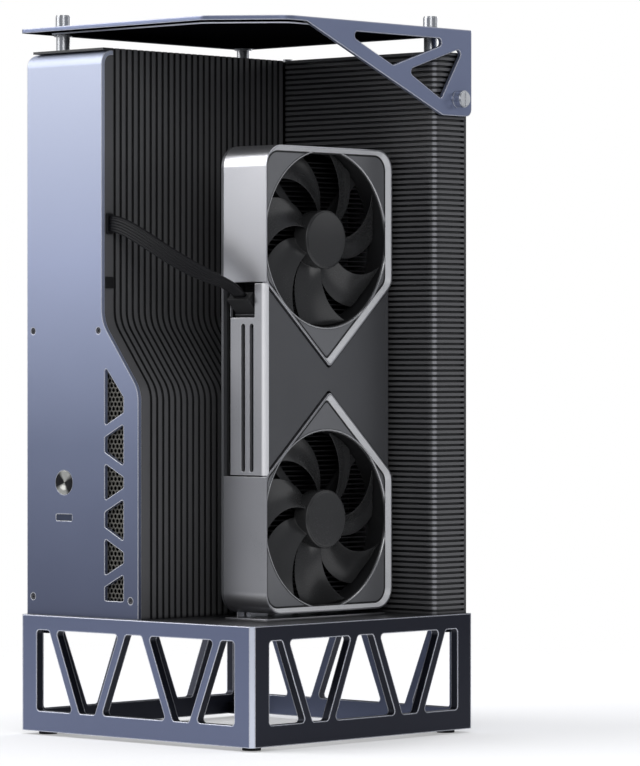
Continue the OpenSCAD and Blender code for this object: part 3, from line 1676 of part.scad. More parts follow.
// Top plate with its folded bracket
module plate_outline(inset) {
  x = base_w / 2 - inset;
  y = base_d / 2 - inset;
  r = plate_corner_r;
  rounded(
    [[-x, -y], [x - cut_w, -y], [x, -y + cut_d], [x, y], [-x, y]],
    [r, cut_corner_r, cut_corner_r, r, r]
  );
}
// Bracket outline in y and z
b_low = z_roof - bracket_drop;
b_toe = y_bracket_end - bracket_foot;
// Windows' corners, as shares of the bracket's length and drop
window_shares = [
  [[0.515, 0.472], [0.909, 0.119], [0.213, 0.119]],
  [[0.812, 0.82], [0.957, 0.199], [0.595, 0.519]]
];
module bracket_window(w) {
  length = y_bracket_end - y_bracket;
  rounded(
    [for (v = w) [y_bracket + v[0] * length, z_roof - v[1] * bracket_drop]],
    [window_r, window_r, window_r]
  );
}
module top_plate() {
  color("#7c88ad") difference() {
    union() {
      along_z([z_plate, z_roof]) plate_outline(0);
      along_z([z_plate - pad_t, z_plate]) plate_outline(pad_in);
      along_x([x_bracket, base_w / 2]) difference() {
        rounded(
          [
            [y_bracket, z_plate], [b_toe, b_low], [y_bracket_end, b_low],
            [y_bracket_end, z_plate + plate_t / 2], [y_bracket, z_plate + plate_t / 2]
          ],
          [0, bracket_r, bracket_r, 0, 0]
        );
        for (w = window_shares) bracket_window(w);
      }
    }
    for (p = post_places) rod_z(p[0], p[1], [z_plate - pad_t - over, z_roof + over], stud_r + slop);
    rod_x([x_bracket - over, base_w / 2 + over], y_thumb, z_thumb, thumb_shaft_r + slop);
  }
}
module plate_posts() {
  color("#c9ccd1") for (p = post_places) difference() {
    union() {
      rod_z(p[0], p[1], post_z, post_r);
      rod_z(p[0], p[1], [post_z[1] - ring_h, post_z[1]], ring_r);
      rod_z(p[0], p[1], [post_z[0] - stud_l, post_z[0]], stud_r);
    }
    rod_z(p[0], p[1], [post_z[1] - stud_l, post_z[1] + over], stud_r + run_fit);
  }
}
module plate_screws() {
  head = [z_roof, z_roof + cap_screw_h];
  color("#c9ccd1") for (p = post_places) difference() {
    union() {
      rod_z(p[0], p[1], [head[0], head[1] - edge_r], cap_screw_r);
      rod_z(p[0], p[1], [head[1] - edge_r, head[1]], cap_screw_r - edge_r / 2);
      rod_z(p[0], p[1], [post_z[1] - stud_l + slop, head[0]], stud_r);
    }
    translate([p[0], p[1], head[1] - hex_h])
      cylinder(r = hex_r, h = hex_h + over, $fn = 6);
  }
}
module thumb_washer() {
  x = base_w / 2;
  color("#a9adb5") difference() {
    rod_x([x, x + washer_t], y_thumb, z_thumb, thumb_r);
    rod_x([x - over, x + washer_t + over], y_thumb, z_thumb, thumb_shaft_r + run_fit);
  }
}
module thumbscrew() {
  x = [base_w / 2 + washer_t, base_w / 2 + thumb_reach];
  step = 360 / thumb_teeth;
  color("#c9ccd1") translate([0, y_thumb, z_thumb]) difference() {
    union() {
      along_x([x[0], x[1] - edge_r]) polygon([
        for (i = [0:thumb_teeth - 1])
          each [
            (thumb_r - thumb_tooth) * [cos(i * step), sin(i * step)],
            thumb_r * [cos((i + 0.35) * step), sin((i + 0.35) * step)],
            thumb_r * [cos((i + 0.65) * step), sin((i + 0.65) * step)]
          ]
      ]);
      rod_x([x[1] - edge_r - slop, x[1]], 0, 0, thumb_r - 2 * thumb_tooth);
      rod_x([x[0] - thumb_shaft_l, x[0] + over], 0, 0, thumb_shaft_r);
    }
    slab([x[1] - thumb_groove, x[1] + over], [-thumb_groove, thumb_groove], [-thumb_r, thumb_r]);
  }
}

placed() base_front_panel();
placed() base_rear_panel();
placed() base_left_panel();
placed() base_right_panel();
placed() base_corners();
placed() rubber_feet();
placed() base_deck();
placed() deck_screws();
placed() front_fascia();
placed() fascia_screws();
placed() vent_mesh();
placed() power_button();
placed() switch_board();
placed() status_light();
placed() left_shell();
placed() ribbed_side_cover();
placed() power_tower_cap();
placed() power_rear_panel();
placed() psu_case();
placed() psu_fan();
placed() psu_fan_guard();
placed() power_inlet();
placed() power_rocker();
placed() psu_screws();
placed() lead_grommet();
placed() spare_outlet_plug();
placed() power_lead();
placed() lead_plug();
placed() dock_front_cover();
placed() dock_rear_panel();
placed() dock_tower_cap();
placed() main_board();
placed() card_slot();
placed() slot_latch();
placed() chip_heatsink();
placed() rear_ports();
placed() board_standoffs();
placed() tower_tie_bolt();
placed() card_backplate();
placed() card_board();
placed() card_fin_stack();
placed() card_fan_duct();
placed() card_fan_mounts();
placed() upper_fan();
placed() lower_fan();
placed() card_upper_cap();
placed() card_lower_cap();
placed() card_side_rail();
placed() card_slot_rail();
placed() card_centre_face();
placed() card_corner_inlays();
placed() card_bracket();
placed() display_ports();
placed() card_socket();
placed() top_plate();
placed() plate_posts();
placed() plate_screws();
placed() thumb_washer();
placed() thumbscrew();
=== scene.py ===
# %% [markdown]
# # An expansion chassis with an upright two-fan card
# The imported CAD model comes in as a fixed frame, and this script dresses it. Everything is in
# metres, the fascia looks towards -Y and the card's fans look towards +X. Each step below says
# what the real piece is, how it could be made, and why one way was chosen.

import math

import bmesh
import bpy
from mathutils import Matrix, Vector


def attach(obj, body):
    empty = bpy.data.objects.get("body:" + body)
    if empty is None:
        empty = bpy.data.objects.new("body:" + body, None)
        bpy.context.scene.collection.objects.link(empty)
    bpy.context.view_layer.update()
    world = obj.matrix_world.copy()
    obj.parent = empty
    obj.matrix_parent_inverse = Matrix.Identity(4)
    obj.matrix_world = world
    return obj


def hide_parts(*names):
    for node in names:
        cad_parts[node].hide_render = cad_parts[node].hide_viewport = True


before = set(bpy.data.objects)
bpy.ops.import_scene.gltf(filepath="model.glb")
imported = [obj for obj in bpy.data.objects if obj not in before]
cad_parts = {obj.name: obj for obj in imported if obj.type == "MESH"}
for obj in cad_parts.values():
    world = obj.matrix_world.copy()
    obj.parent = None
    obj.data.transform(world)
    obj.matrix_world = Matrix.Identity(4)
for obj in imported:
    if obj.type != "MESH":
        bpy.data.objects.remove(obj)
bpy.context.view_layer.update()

# The CAD is drawn about the middle of its base, and placed 3.6 mm to the left of the origin
BASE_SHIFT = 0.0036


def at(x, y, z):
    """A point of the base-centred drawing, in millimetres, as a point of the frame."""
    return Vector((x / 1000 - BASE_SHIFT, y / 1000, z / 1000))


# %% [markdown]
# ## Camera
# The photograph is a long-lens studio shot: the verticals hardly converge. The camera stands
# nearly three metres away at the height of the object's middle, turned 43 degrees round it,
# so that the fascia and the card's fans both show. It looks level, which keeps uprights upright.

# %% Place the camera
TURN = math.radians(42.82)
CAMERA_PLACE = (2.0009, -2.0922, 0.2423)
camera_data = bpy.data.cameras.new("studio_camera")
camera_data.lens = 205.69
camera_data.sensor_width = 36
camera_data.shift_y = -0.0211
camera_data.clip_start = 0.1
camera_data.clip_end = 60
camera = bpy.data.objects.new("studio_camera", camera_data)
camera.location = CAMERA_PLACE
looking = Vector((-math.sin(TURN), math.cos(TURN), 0))
camera.rotation_mode = "QUATERNION"
camera.rotation_quaternion = looking.to_track_quat("-Z", "Y")
bpy.context.scene.collection.objects.link(camera)
bpy.context.scene.camera = camera
print("camera at", [round(v, 3) for v in camera.location])

# %% [markdown]
# ## Making meshes
# Every new piece is a mesh made from points and faces. Two small helpers cover them: one turns
# lists of points and faces into an object with smooth or flat shading, and one joins rings of
# points into a skin. The lead and the fans' blades are skins with a cap at each end, and the
# trims round the fans are skins whose last ring joins the first.


# %% Helpers for meshes
def new_piece(name, points, faces, body, smooth=True):
    """An object from points and faces that rides on a body of the frame."""
    mesh = bpy.data.meshes.new(name)
    mesh.from_pydata([tuple(p) for p in points], [], faces)
    shape = bmesh.new()
    shape.from_mesh(mesh)
    bmesh.ops.recalc_face_normals(shape, faces=shape.faces)
    shape.to_mesh(mesh)
    shape.free()
    for face in mesh.polygons:
        face.use_smooth = smooth
    piece = bpy.data.objects.new(name, mesh)
    bpy.context.scene.collection.objects.link(piece)
    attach(piece, body)
    return piece


def skin(rings, looped=False):
    """Points and faces of a skin over rings, with a cap at each end or joined into a loop."""
    count = len(rings[0])
    points = [p for ring in rings for p in ring]
    total = len(points)
    faces = []
    for i in range(len(rings) if looped else len(rings) - 1):
        for j in range(count):
            a = i * count + j
            b = i * count + (j + 1) % count
            faces.append((a, b, (b + count) % total, (a + count) % total))
    if not looped:
        faces.append(tuple(range(count)))
        faces.append(tuple(total - 1 - j for j in range(count)))
    return points, faces


# %% [markdown]
# ## The card's power lead
# A flat ribbon of six cores comes out of the power tower's side, droops across the gap and
# turns down into the card's socket. A swept curve would give a plain strip, so the ribbon is a
# skin over rings whose outline rises over each core. Its width turns from upright at the
# grommet to level at the plug, as a ribbon does when it leaves one slot and enters another.


# %% Lay the lead
def on_curve(controls, t):
    """A point at share t of the curve that the control points pull."""
    points = list(controls)
    while len(points) > 1:
        points = [a.lerp(b, t) for a, b in zip(points, points[1:])]
    return points[0]


LEAD_WIDTH = 0.011
LEAD_THICK = 0.0034
LEAD_CORES = 6
LEAD_STEPS = 36
OUT_RUN = 0.027
PLUG_RUN = 0.023
DROOP_SHARES = (0.86, 0.08, 0.9)
PLUG_TILT = math.radians(45)
PLUG_OUT = Vector((0, -math.sin(PLUG_TILT), math.cos(PLUG_TILT)))
lead_from = at(-31.7, -95.8, 335.5)
lead_to = at(49.35, -58.192, 287.992)
lead_span = lead_to - lead_from
lead_controls = [
    lead_from,
    lead_from + Vector((OUT_RUN, 0, 0)),
    lead_from + Vector([share * part for share, part in zip(DROOP_SHARES, lead_span)]),
    lead_to + PLUG_RUN * PLUG_OUT,
    lead_to,
]
lead_path = [on_curve(lead_controls, i / LEAD_STEPS) for i in range(LEAD_STEPS + 1)]


def core_outline():
    """Outline of the ribbon across its width: a low hump over each core, on both sides."""
    steps = 5
    half = LEAD_WIDTH / 2
    groove = 0.62
    end_low = 0.35
    end_slope = 6
    top = []
    for k in range(LEAD_CORES * steps + 1):
        u = k / (LEAD_CORES * steps)
        hump = abs(math.sin(math.pi * u * LEAD_CORES))
        end = min(1, end_slope * min(u, 1 - u) + end_low)
        rise = LEAD_THICK / 2 * (groove + (1 - groove) * hump) * end
        top.append(((2 * u - 1) * half, rise))
    return top + [(x, -rise) for x, rise in reversed(top)]


lead_rings = []
for i, point in enumerate(lead_path):
    ahead = lead_path[min(i + 1, LEAD_STEPS)] - lead_path[max(i - 1, 0)]
    ahead.normalize()
    share = i / LEAD_STEPS
    want = Vector((share, 0, 1 - share))
    across = (want - want.dot(ahead) * ahead).normalized()
    up = ahead.cross(across)
    lead_rings.append([point + x * across + y * up for x, y in core_outline()])
lead = new_piece("ribbon_lead", *skin(lead_rings), "chassis")
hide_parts("power_lead")

# %% [markdown]
# ## The fans
# Each fan is one moulding: seven thin blades that sweep back from a drum, with a shallow disc
# on its front. The CAD's blades are coarse, so their flats would show in the gloss. The same
# curve is laid here on a fine grid and shaded smooth, and the drum is turned from a profile
# with rounded shoulders.


# %% Make the fans
# Lengths are in millimetres and angles in degrees
FAN_TURNS = 7
BLADE_FROM = 17.6
BLADE_TO = 56.2
BLADE_SPAN = 33
BLADE_SWEEP = 30
BLADE_DEPTH = 8.6
BLADE_THICK = 1.2
BLADE_PLACE = 56.5
SWEEP_POWER = 1.4
CUP_SHARE = 0.21
EDGE_SHARE = 0.25
EDGE_SLOPE = 5
CHORD_STEPS = 14
SPAN_STEPS = 16
DRUM_STEPS = 72
FAN_SHARP = 38
# Radius and X of the drum and its disc, from the back to the middle of the front
DRUM_PROFILE = [
    (2.3, 55.6), (18.6, 55.6), (19.2, 56.2), (19.2, 66.4), (18.9, 66.95), (18.4, 67.2),
    (18.0, 67.25), (17.9, 67.6), (17.6, 67.75), (17.2, 67.8), (0.02, 67.8),
]
Y_MID = 4.5
FAN_HEIGHTS = {"upper": 325.4, "lower": 143.0}


def blade_point(share, chord, side):
    """A point of the first blade about the fan's centre: share from root to tip, chord across."""
    radius = BLADE_FROM + (BLADE_TO - BLADE_FROM) * share
    angle = math.radians(-BLADE_SWEEP * share**SWEEP_POWER + (chord - 0.5) * BLADE_SPAN)
    lift = BLADE_DEPTH * (1 - chord - CUP_SHARE * math.sin(math.pi * chord))
    thin = BLADE_THICK / 2 * min(1, EDGE_SHARE + EDGE_SLOPE * min(chord, 1 - chord))
    return (BLADE_PLACE + lift + side * thin, radius * math.sin(angle), radius * math.cos(angle))


def turned(point, degrees):
    """A point turned about the fan's axis."""
    x, y, z = point
    c = math.cos(math.radians(degrees))
    s = math.sin(math.radians(degrees))
    return (x, y * c - z * s, y * s + z * c)


def fan_mesh(height):
    """Points and faces of a whole fan whose centre is at a height."""
    points = []
    faces = []

    def add(part_points, part_faces):
        first = len(points)
        points.extend(at(x, Y_MID + y, height + z) for x, y, z in part_points)
        faces.extend(tuple(first + k for k in face) for face in part_faces)

    turns = [math.pi * j / CHORD_STEPS for j in range(CHORD_STEPS + 1)]
    chords = [0.5 - 0.5 * math.cos(turn) for turn in turns]
    for i in range(FAN_TURNS):
        rings = []
        for k in range(SPAN_STEPS + 1):
            front = [blade_point(k / SPAN_STEPS, c, 1) for c in chords]
            back = [blade_point(k / SPAN_STEPS, c, -1) for c in reversed(chords)]
            rings.append([turned(q, 360 * i / FAN_TURNS) for q in front + back])
        add(*skin(rings))
    rings = []
    for r, x in DRUM_PROFILE:
        rings.append([turned((x, 0, r), 360 * k / DRUM_STEPS) for k in range(DRUM_STEPS)])
    add(*skin(rings))
    return points, faces


fans = {}
for place, height in FAN_HEIGHTS.items():
    fans[place] = new_piece(place + "_fan_moulding", *fan_mesh(height), place + "_rotor")
    fans[place].data.set_sharp_from_angle(angle=math.radians(FAN_SHARP))
    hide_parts(place + "_fan")
print("fans", [len(f.data.polygons) for f in fans.values()], "faces")

# %% [markdown]
# ## Bevels round the fans
# A bevel slopes from the lip of each end cap down to the dark inlays, near white as a painted
# highlight on polished silver, and a thin polished ring lines each bore. A black strip lies
# between bevel and inlay as painted shade in the gap. All are loops of one small outline carried
# round a path. The bore cuts into the bevel at each side, so the bevel narrows there.


# %% Make the bevels and rings
CARD_Y = (-56.0, 65.0)
CARD_Z = (83.0, 385.4)
Z_MID = 234.2
TIP_GAP = 8.2
SHOULDER = 62.4
HALF_CARD = 0.5 * (CARD_Y[1] - CARD_Y[0])
SLOPE = (SHOULDER - TIP_GAP) / HALF_CARD
TIP_R = 2.5
SHOULDER_R = 12
TOP_R = 14


def round_corners(corners, radii, steps=10):
    """An outline with an arc at each corner, as (y, z) pairs."""
    outline = []
    count = len(corners)
    for i, corner in enumerate(corners):
        here = Vector(corner)
        back = (Vector(corners[i - 1]) - here).normalized()
        ahead = (Vector(corners[(i + 1) % count]) - here).normalized()
        half = back.angle(ahead) / 2
        centre = here + (back + ahead).normalized() * radii[i] / math.sin(half)
        start = here + back * radii[i] / math.tan(half) - centre
        end = here + ahead * radii[i] / math.tan(half) - centre
        for k in range(steps + 1):
            arm = start.lerp(end, k / steps).normalized() * radii[i]
            outline.append(centre + arm)
    return outline


def house_outline(inset):
    """Outline of the upper fan's surround, moved in: a point below and a round top."""
    tip = Z_MID + TIP_GAP + inset * math.sqrt(1 + SLOPE**2)
    half = HALF_CARD - inset
    shoulder = tip + half * SLOPE
    top = CARD_Z[1] - inset
    corners = [
        (Y_MID, tip), (Y_MID + half, shoulder), (Y_MID + half, top),
        (Y_MID - half, top), (Y_MID - half, shoulder),
    ]
    shoulder_r = SHOULDER_R - inset
    top_r = TOP_R - inset
    return round_corners(corners, [TIP_R, shoulder_r, top_r, top_r, shoulder_r])


# X of the card's face, how far in the bevel and the black strip of painted shade reach, and the
# gaps that keep them off the solids
X_FACE = 70.6
LIP = 1.02
BAND = 3.5
SHADOW_STRIP_REACH = 4.6
BAND_DEPTH = 3.0
BORE_EDGE = 58.8
FACE_GAP = 0.05
BACK_GAP = 0.18
SHADOW_STRIP_THICK = 0.14
HALVINGS = 24
TRIM_SHARP = 30


def share_to_bore(outer, inner):
    """Share of the way from an outer point to an inner one at which the bore begins, at most 1."""
    centre = Vector((Y_MID, FAN_HEIGHTS["upper"]))
    low = 0.0
    high = 1.0
    if (inner - centre).length >= BORE_EDGE:
        return 1.0
    for _ in range(HALVINGS):
        middle = (low + high) / 2
        if (outer.lerp(inner, middle) - centre).length >= BORE_EDGE:
            low = middle
        else:
            high = middle
    return low


def frame_point(x, point, place):
    """A (y, z) point of the upper opening as a point of the frame, turned over for the lower."""
    y, z = point
    return at(x, y, z if place == "upper" else 2 * Z_MID - z)


bevels = {}
shadow_strips = {}
for place in FAN_HEIGHTS:
    bevel_sections = []
    shadow_strip_sections = []
    for outer, inner in zip(house_outline(LIP), house_outline(SHADOW_STRIP_REACH)):
        reach = share_to_bore(outer, inner)
        share = min(reach, (BAND - LIP) / (SHADOW_STRIP_REACH - LIP))
        foot = outer.lerp(inner, share)
        end = outer.lerp(inner, reach)
        x_lip = X_FACE - FACE_GAP
        x_foot = x_lip - BAND_DEPTH * share * (SHADOW_STRIP_REACH - LIP) / (BAND - LIP)
        x_under = X_FACE - BAND_DEPTH - BACK_GAP
        x_shadow_strip = x_under + SHADOW_STRIP_THICK
        bevel = [(x_lip, outer), (x_foot, foot), (x_under, foot), (x_under, outer)]
        shadow_strip = [(x_shadow_strip, foot), (x_shadow_strip, end), (x_under, end), (x_under, foot)]
        bevel_sections.append([frame_point(x, q, place) for x, q in bevel])
        shadow_strip_sections.append([frame_point(x, q, place) for x, q in shadow_strip])
    bevel_skin = skin(bevel_sections, looped=True)
    shadow_strip_skin = skin(shadow_strip_sections, looped=True)
    bevels[place] = new_piece(place + "_surround_bevel", *bevel_skin, "chassis")
    # The black strip in the gap between bevel and inlay is painted shade
    shadow_strips[place] = new_piece(place + "_surround_shadow_strip", *shadow_strip_skin, "chassis", smooth=False)
    bevels[place].data.set_sharp_from_angle(angle=math.radians(TRIM_SHARP))
RING_STEPS = 120
# Radius and X of the ring's small outline
RING_SECTION = [(58.6, 67.75), (57.9, 67.75), (57.45, 67.2), (57.45, 66.1), (58.6, 66.1)]
rings_of_bores = {}
for place, height in FAN_HEIGHTS.items():
    sections = []
    for k in range(RING_STEPS):
        angle = 2 * math.pi * k / RING_STEPS
        across = math.sin(angle)
        along = math.cos(angle)
        sections.append([at(x, Y_MID + r * across, height + r * along) for r, x in RING_SECTION])
    ring_skin = skin(sections, looped=True)
    rings_of_bores[place] = new_piece(place + "_bore_ring", *ring_skin, "chassis")
    rings_of_bores[place].data.set_sharp_from_angle(angle=math.radians(TRIM_SHARP))
print("bevels, seams and rings", sorted(bevels), sorted(shadow_strips), sorted(rings_of_bores))

# %% [markdown]
# ## Shared effects
# Finishes on one object share their small faults. Four node groups hold them: fine grain that
# roughens a surface unevenly, edges that catch the light, lines left by brushing, and dust
# that settles on what faces up. Each group only puts out masks, values or normals, and each
# material sets its own amounts.


# %% Helpers for nodes
def new_group(name, inputs, outputs):
    """A node group with named float inputs and typed outputs."""
    group = bpy.data.node_groups.new(name, "ShaderNodeTree")
    for label, value in inputs:
        socket = group.interface.new_socket(label, in_out="INPUT", socket_type="NodeSocketFloat")
        socket.default_value = value
    for label, kind in outputs:
        group.interface.new_socket(label, in_out="OUTPUT", socket_type=kind)
    source = group.nodes.new("NodeGroupInput")
    target = group.nodes.new("NodeGroupOutput")
    return group, source, target


def math_node(tree, operation, first, second=None, clamp=False):
    """A maths node whose inputs are numbers or sockets."""
    node = tree.nodes.new("ShaderNodeMath")
    node.operation = operation
    node.use_clamp = clamp
    for place, value in ((0, first), (1, second)):
        if value is None:
            continue
        if isinstance(value, (int, float)):
            node.inputs[place].default_value = value
        else:
            tree.links.new(value, node.inputs[place])
    return node.outputs[0]


def spread(tree, value, low, high, out_low, out_high):
    """The value's range low to high, spread over another range."""
    node = tree.nodes.new("ShaderNodeMapRange")
    tree.links.new(value, node.inputs["Value"])
    node.inputs["From Min"].default_value = low
    node.inputs["From Max"].default_value = high
    for label, number in (("To Min", out_low), ("To Max", out_high)):
        if isinstance(number, (int, float)):
            node.inputs[label].default_value = number
        else:
            tree.links.new(number, node.inputs[label])
    return node.outputs["Result"]


def noise(tree, scale, detail=3.0, stretch=(1, 1, 1)):
    """Noise over the object's own coordinates, which may be stretched along an axis."""
    where = tree.nodes.new("ShaderNodeTexCoord")
    place = tree.nodes.new("ShaderNodeMapping")
    place.inputs["Scale"].default_value = stretch
    texture = tree.nodes.new("ShaderNodeTexNoise")
    texture.inputs["Detail"].default_value = detail
    tree.links.new(where.outputs["Object"], place.inputs["Vector"])
    tree.links.new(place.outputs["Vector"], texture.inputs["Vector"])
    if isinstance(scale, (int, float)):
        texture.inputs["Scale"].default_value = scale
    else:
        tree.links.new(scale, texture.inputs["Scale"])
    return texture.outputs["Fac"]


# %% [markdown]
# ### Fine grain
# Fine noise over a slow cloud makes the roughness uneven. The cloud also goes out by itself,
# for the tone of the colour.

# %% Group: fine grain
NOISE_RANGE = (0.3, 0.7)
FINE_SHARE = 0.55
CLOUD_SHARE = 0.45
grain, grain_in, grain_out = new_group(
    "fine_grain",
    [("Scale", 900.0), ("Rough low", 0.35), ("Rough high", 0.5)],
    [("Roughness", "NodeSocketFloat"), ("Height", "NodeSocketFloat"), ("Cloud", "NodeSocketFloat")],
)
fine = noise(grain, grain_in.outputs["Scale"])
cloud = noise(grain, 22.0, 4.0)
both = math_node(grain, "MULTIPLY_ADD", fine, FINE_SHARE)
grain.links.new(math_node(grain, "MULTIPLY", cloud, CLOUD_SHARE), both.node.inputs[2])
grain_rough = spread(
    grain, both, *NOISE_RANGE, grain_in.outputs["Rough low"], grain_in.outputs["Rough high"]
)
grain.links.new(grain_rough, grain_out.inputs["Roughness"])
grain.links.new(fine, grain_out.inputs["Height"])
grain.links.new(cloud, grain_out.inputs["Cloud"])

# %% [markdown]
# ### Edges that catch the light
# The Bevel node rounds the normal near an edge. Where it departs from the flat face's normal
# there is an edge, so their difference is the mask. Finishes use the mask for a painted highlight
# along edges.

# %% Group: edges that catch the light
edges, edges_in, edges_out = new_group(
    "lit_edges",
    [("Radius", 0.0006), ("Gain", 3.0)],
    [("Edge", "NodeSocketFloat"), ("Normal", "NodeSocketVector")],
)
round_over = edges.nodes.new("ShaderNodeBevel")
round_over.samples = 6
edges.links.new(edges_in.outputs["Radius"], round_over.inputs["Radius"])
flat = edges.nodes.new("ShaderNodeNewGeometry")
facing = edges.nodes.new("ShaderNodeVectorMath")
facing.operation = "DOT_PRODUCT"
edges.links.new(round_over.outputs["Normal"], facing.inputs[0])
edges.links.new(flat.outputs["True Normal"], facing.inputs[1])
bent = math_node(edges, "SUBTRACT", 1.0, facing.outputs["Value"])
edge_mask = math_node(edges, "MULTIPLY", bent, edges_in.outputs["Gain"], clamp=True)
edges.links.new(edge_mask, edges_out.inputs["Edge"])
edges.links.new(round_over.outputs["Normal"], edges_out.inputs["Normal"])

# %% [markdown]
# ### Brushed lines
# Noise that is stretched along Z gives fine upright lines.

# %% Group: brushed lines
brushed, brushed_in, brushed_out = new_group(
    "brushed_lines",
    [("Scale", 240.0), ("Rough low", 0.22), ("Rough high", 0.36)],
    [("Roughness", "NodeSocketFloat"), ("Height", "NodeSocketFloat")],
)
lines = noise(brushed, brushed_in.outputs["Scale"], 4.0, (1, 1, 0.04))
line_rough = spread(
    brushed, lines, *NOISE_RANGE, brushed_in.outputs["Rough low"], brushed_in.outputs["Rough high"]
)
brushed.links.new(line_rough, brushed_out.inputs["Roughness"])
brushed.links.new(lines, brushed_out.inputs["Height"])

# %% [markdown]
# ### Settled dust
# Dust lies on what faces up, in speckles.

# %% Group: settled dust
dust, dust_in, dust_out = new_group(
    "settled_dust", [("Amount", 0.1)], [("Mask", "NodeSocketFloat")]
)
up_facing = dust.nodes.new("ShaderNodeNewGeometry")
upness = dust.nodes.new("ShaderNodeSeparateXYZ")
dust.links.new(up_facing.outputs["Normal"], upness.inputs[0])
lying = math_node(dust, "SUBTRACT", upness.outputs["Z"], 0.6, clamp=True)
speckle = spread(dust, noise(dust, 130.0, 6.0), 0.35, 0.65, 0.0, 1.0)
speckled = math_node(dust, "MULTIPLY", lying, speckle)
settled = math_node(dust, "MULTIPLY", speckled, dust_in.outputs["Amount"])
dust.links.new(settled, dust_out.inputs["Mask"])
print("groups", [g.name for g in (grain, edges, brushed, dust)])

# %% [markdown]
# ## Finishes
# A finish starts as one Principled shader. Constants sit on its own sockets. Colour that varies
# is mixed in front of Base Color: a cloud of slightly lighter and darker tone, pale edges as a
# painted highlight, and dust. Roughness comes from the grain, and the grain's height feeds a
# bump. Masks by height, by the way that a face looks and by how open a place is serve several
# finishes, so they are functions too.


# %% Helpers for finishes
DUST = (0.35, 0.34, 0.33)
GRAIN_DEPTH = 0.0002


def place_group(tree, group, **values):
    """A group's node in a tree, with its inputs set; an underscore stands for a space."""
    node = tree.nodes.new("ShaderNodeGroup")
    node.node_tree = group
    for label, value in values.items():
        node.inputs[label.replace("_", " ")].default_value = value
    return node


def mix_colours(tree, amount, first, second):
    """One colour over another by an amount; a colour is a triple or a socket."""
    node = tree.nodes.new("ShaderNodeMix")
    node.data_type = "RGBA"
    tree.links.new(amount, node.inputs["Factor"])
    for label, colour in (("A", first), ("B", second)):
        socket = next(s for s in node.inputs if s.name == label and s.type == "RGBA")
        if isinstance(colour, tuple):
            socket.default_value = (*colour, 1)
        else:
            tree.links.new(colour, socket)
    return next(s for s in node.outputs if s.type == "RGBA")


def finish_of(
    name,
    colour,
    rough=(0.4, 0.5),
    metal=0.0,
    grain_scale=900.0,
    bump=0.05,
    tone=0.12,
    edge=None,
    edge_radius=0.0005,
    edge_gain=2.0,
    dusty=0.0,
    lines_on=False,
    **sockets,
):
    """A material with grain, tone, edges and dust; colour is a triple or a function of the tree."""
    material = bpy.data.materials.new(name)
    material.use_nodes = True
    tree = material.node_tree
    skin_shader = tree.nodes["Principled BSDF"]
    skin_shader.inputs["Metallic"].default_value = metal
    for label, value in sockets.items():
        skin_shader.inputs[label.replace("_", " ")].default_value = value
    texture = place_group(tree, grain, Scale=grain_scale, Rough_low=rough[0], Rough_high=rough[1])
    source = texture
    if lines_on:
        source = place_group(tree, brushed, Rough_low=rough[0], Rough_high=rough[1])
    tree.links.new(source.outputs["Roughness"], skin_shader.inputs["Roughness"])
    if callable(colour):
        base = colour(tree)
    else:
        lighter = tuple(min(1, c * (1 + tone)) for c in colour)
        darker = tuple(c * (1 - tone) for c in colour)
        base = mix_colours(tree, texture.outputs["Cloud"], darker, lighter)
    hill = tree.nodes.new("ShaderNodeBump")
    hill.inputs["Strength"].default_value = bump
    hill.inputs["Distance"].default_value = GRAIN_DEPTH
    tree.links.new(source.outputs["Height"], hill.inputs["Height"])
    rim = place_group(tree, edges, Radius=edge_radius, Gain=edge_gain)
    tree.links.new(rim.outputs["Normal"], hill.inputs["Normal"])
    if edge:
        base = mix_colours(tree, rim.outputs["Edge"], base, edge)
    if dusty:
        film = place_group(tree, dust, Amount=dusty)
        base = mix_colours(tree, film.outputs["Mask"], base, DUST)
    tree.links.new(base, skin_shader.inputs["Base Color"])
    tree.links.new(hill.outputs["Normal"], skin_shader.inputs["Normal"])
    return material


def place_parts(tree):
    """X, Y and Z of a point, in metres of the frame."""
    where = tree.nodes.new("ShaderNodeTexCoord")
    parts = tree.nodes.new("ShaderNodeSeparateXYZ")
    tree.links.new(where.outputs["Object"], parts.inputs[0])
    return parts.outputs


def facing_parts(tree):
    """X, Y and Z of the direction that a flat face looks in."""
    geometry = tree.nodes.new("ShaderNodeNewGeometry")
    parts = tree.nodes.new("ShaderNodeSeparateXYZ")
    tree.links.new(geometry.outputs["True Normal"], parts.inputs[0])
    return parts.outputs


def height_mask(tree, low, high):
    """From 0 at a low height to 1 at a high one, in metres of the frame."""
    return spread(tree, place_parts(tree)["Z"], low, high, 0.0, 1.0)


def openness(tree, distance, low, high):
    """From 0 in a groove to 1 in the open, by how much surface lies within a distance."""
    closeness = tree.nodes.new("ShaderNodeAmbientOcclusion")
    closeness.samples = 8
    closeness.inputs["Distance"].default_value = distance
    return spread(tree, closeness.outputs["AO"], low, high, 0.0, 1.0)


# %% [markdown]
# ### Blue metal
# The base, the top plate and the fascia are anodised aluminium, a slate blue. On the fascia the
# colour is painted light: slate at its foot, turning pale near its top where the light falls.
# Paint would hide the metal, so the shader stays partly metallic with a broad highlight. The
# edges are pale, partly as bare machined edges and partly as a painted highlight, and faces out
# of the light are painted navy as painted shade.


# %% Blue metal
SLATE = (0.15, 0.175, 0.275)
# Navy is painted shade, for faces of the blue metal that sit out of the light
SHADE_NAVY = (0.015, 0.017, 0.029)
PLATE_BLUE = (0.25, 0.285, 0.42)
PLATE_METAL = 0.65
SLATE_EDGE = dict(edge=(0.9, 0.92, 1.0), edge_radius=0.0012, edge_gain=9.0)
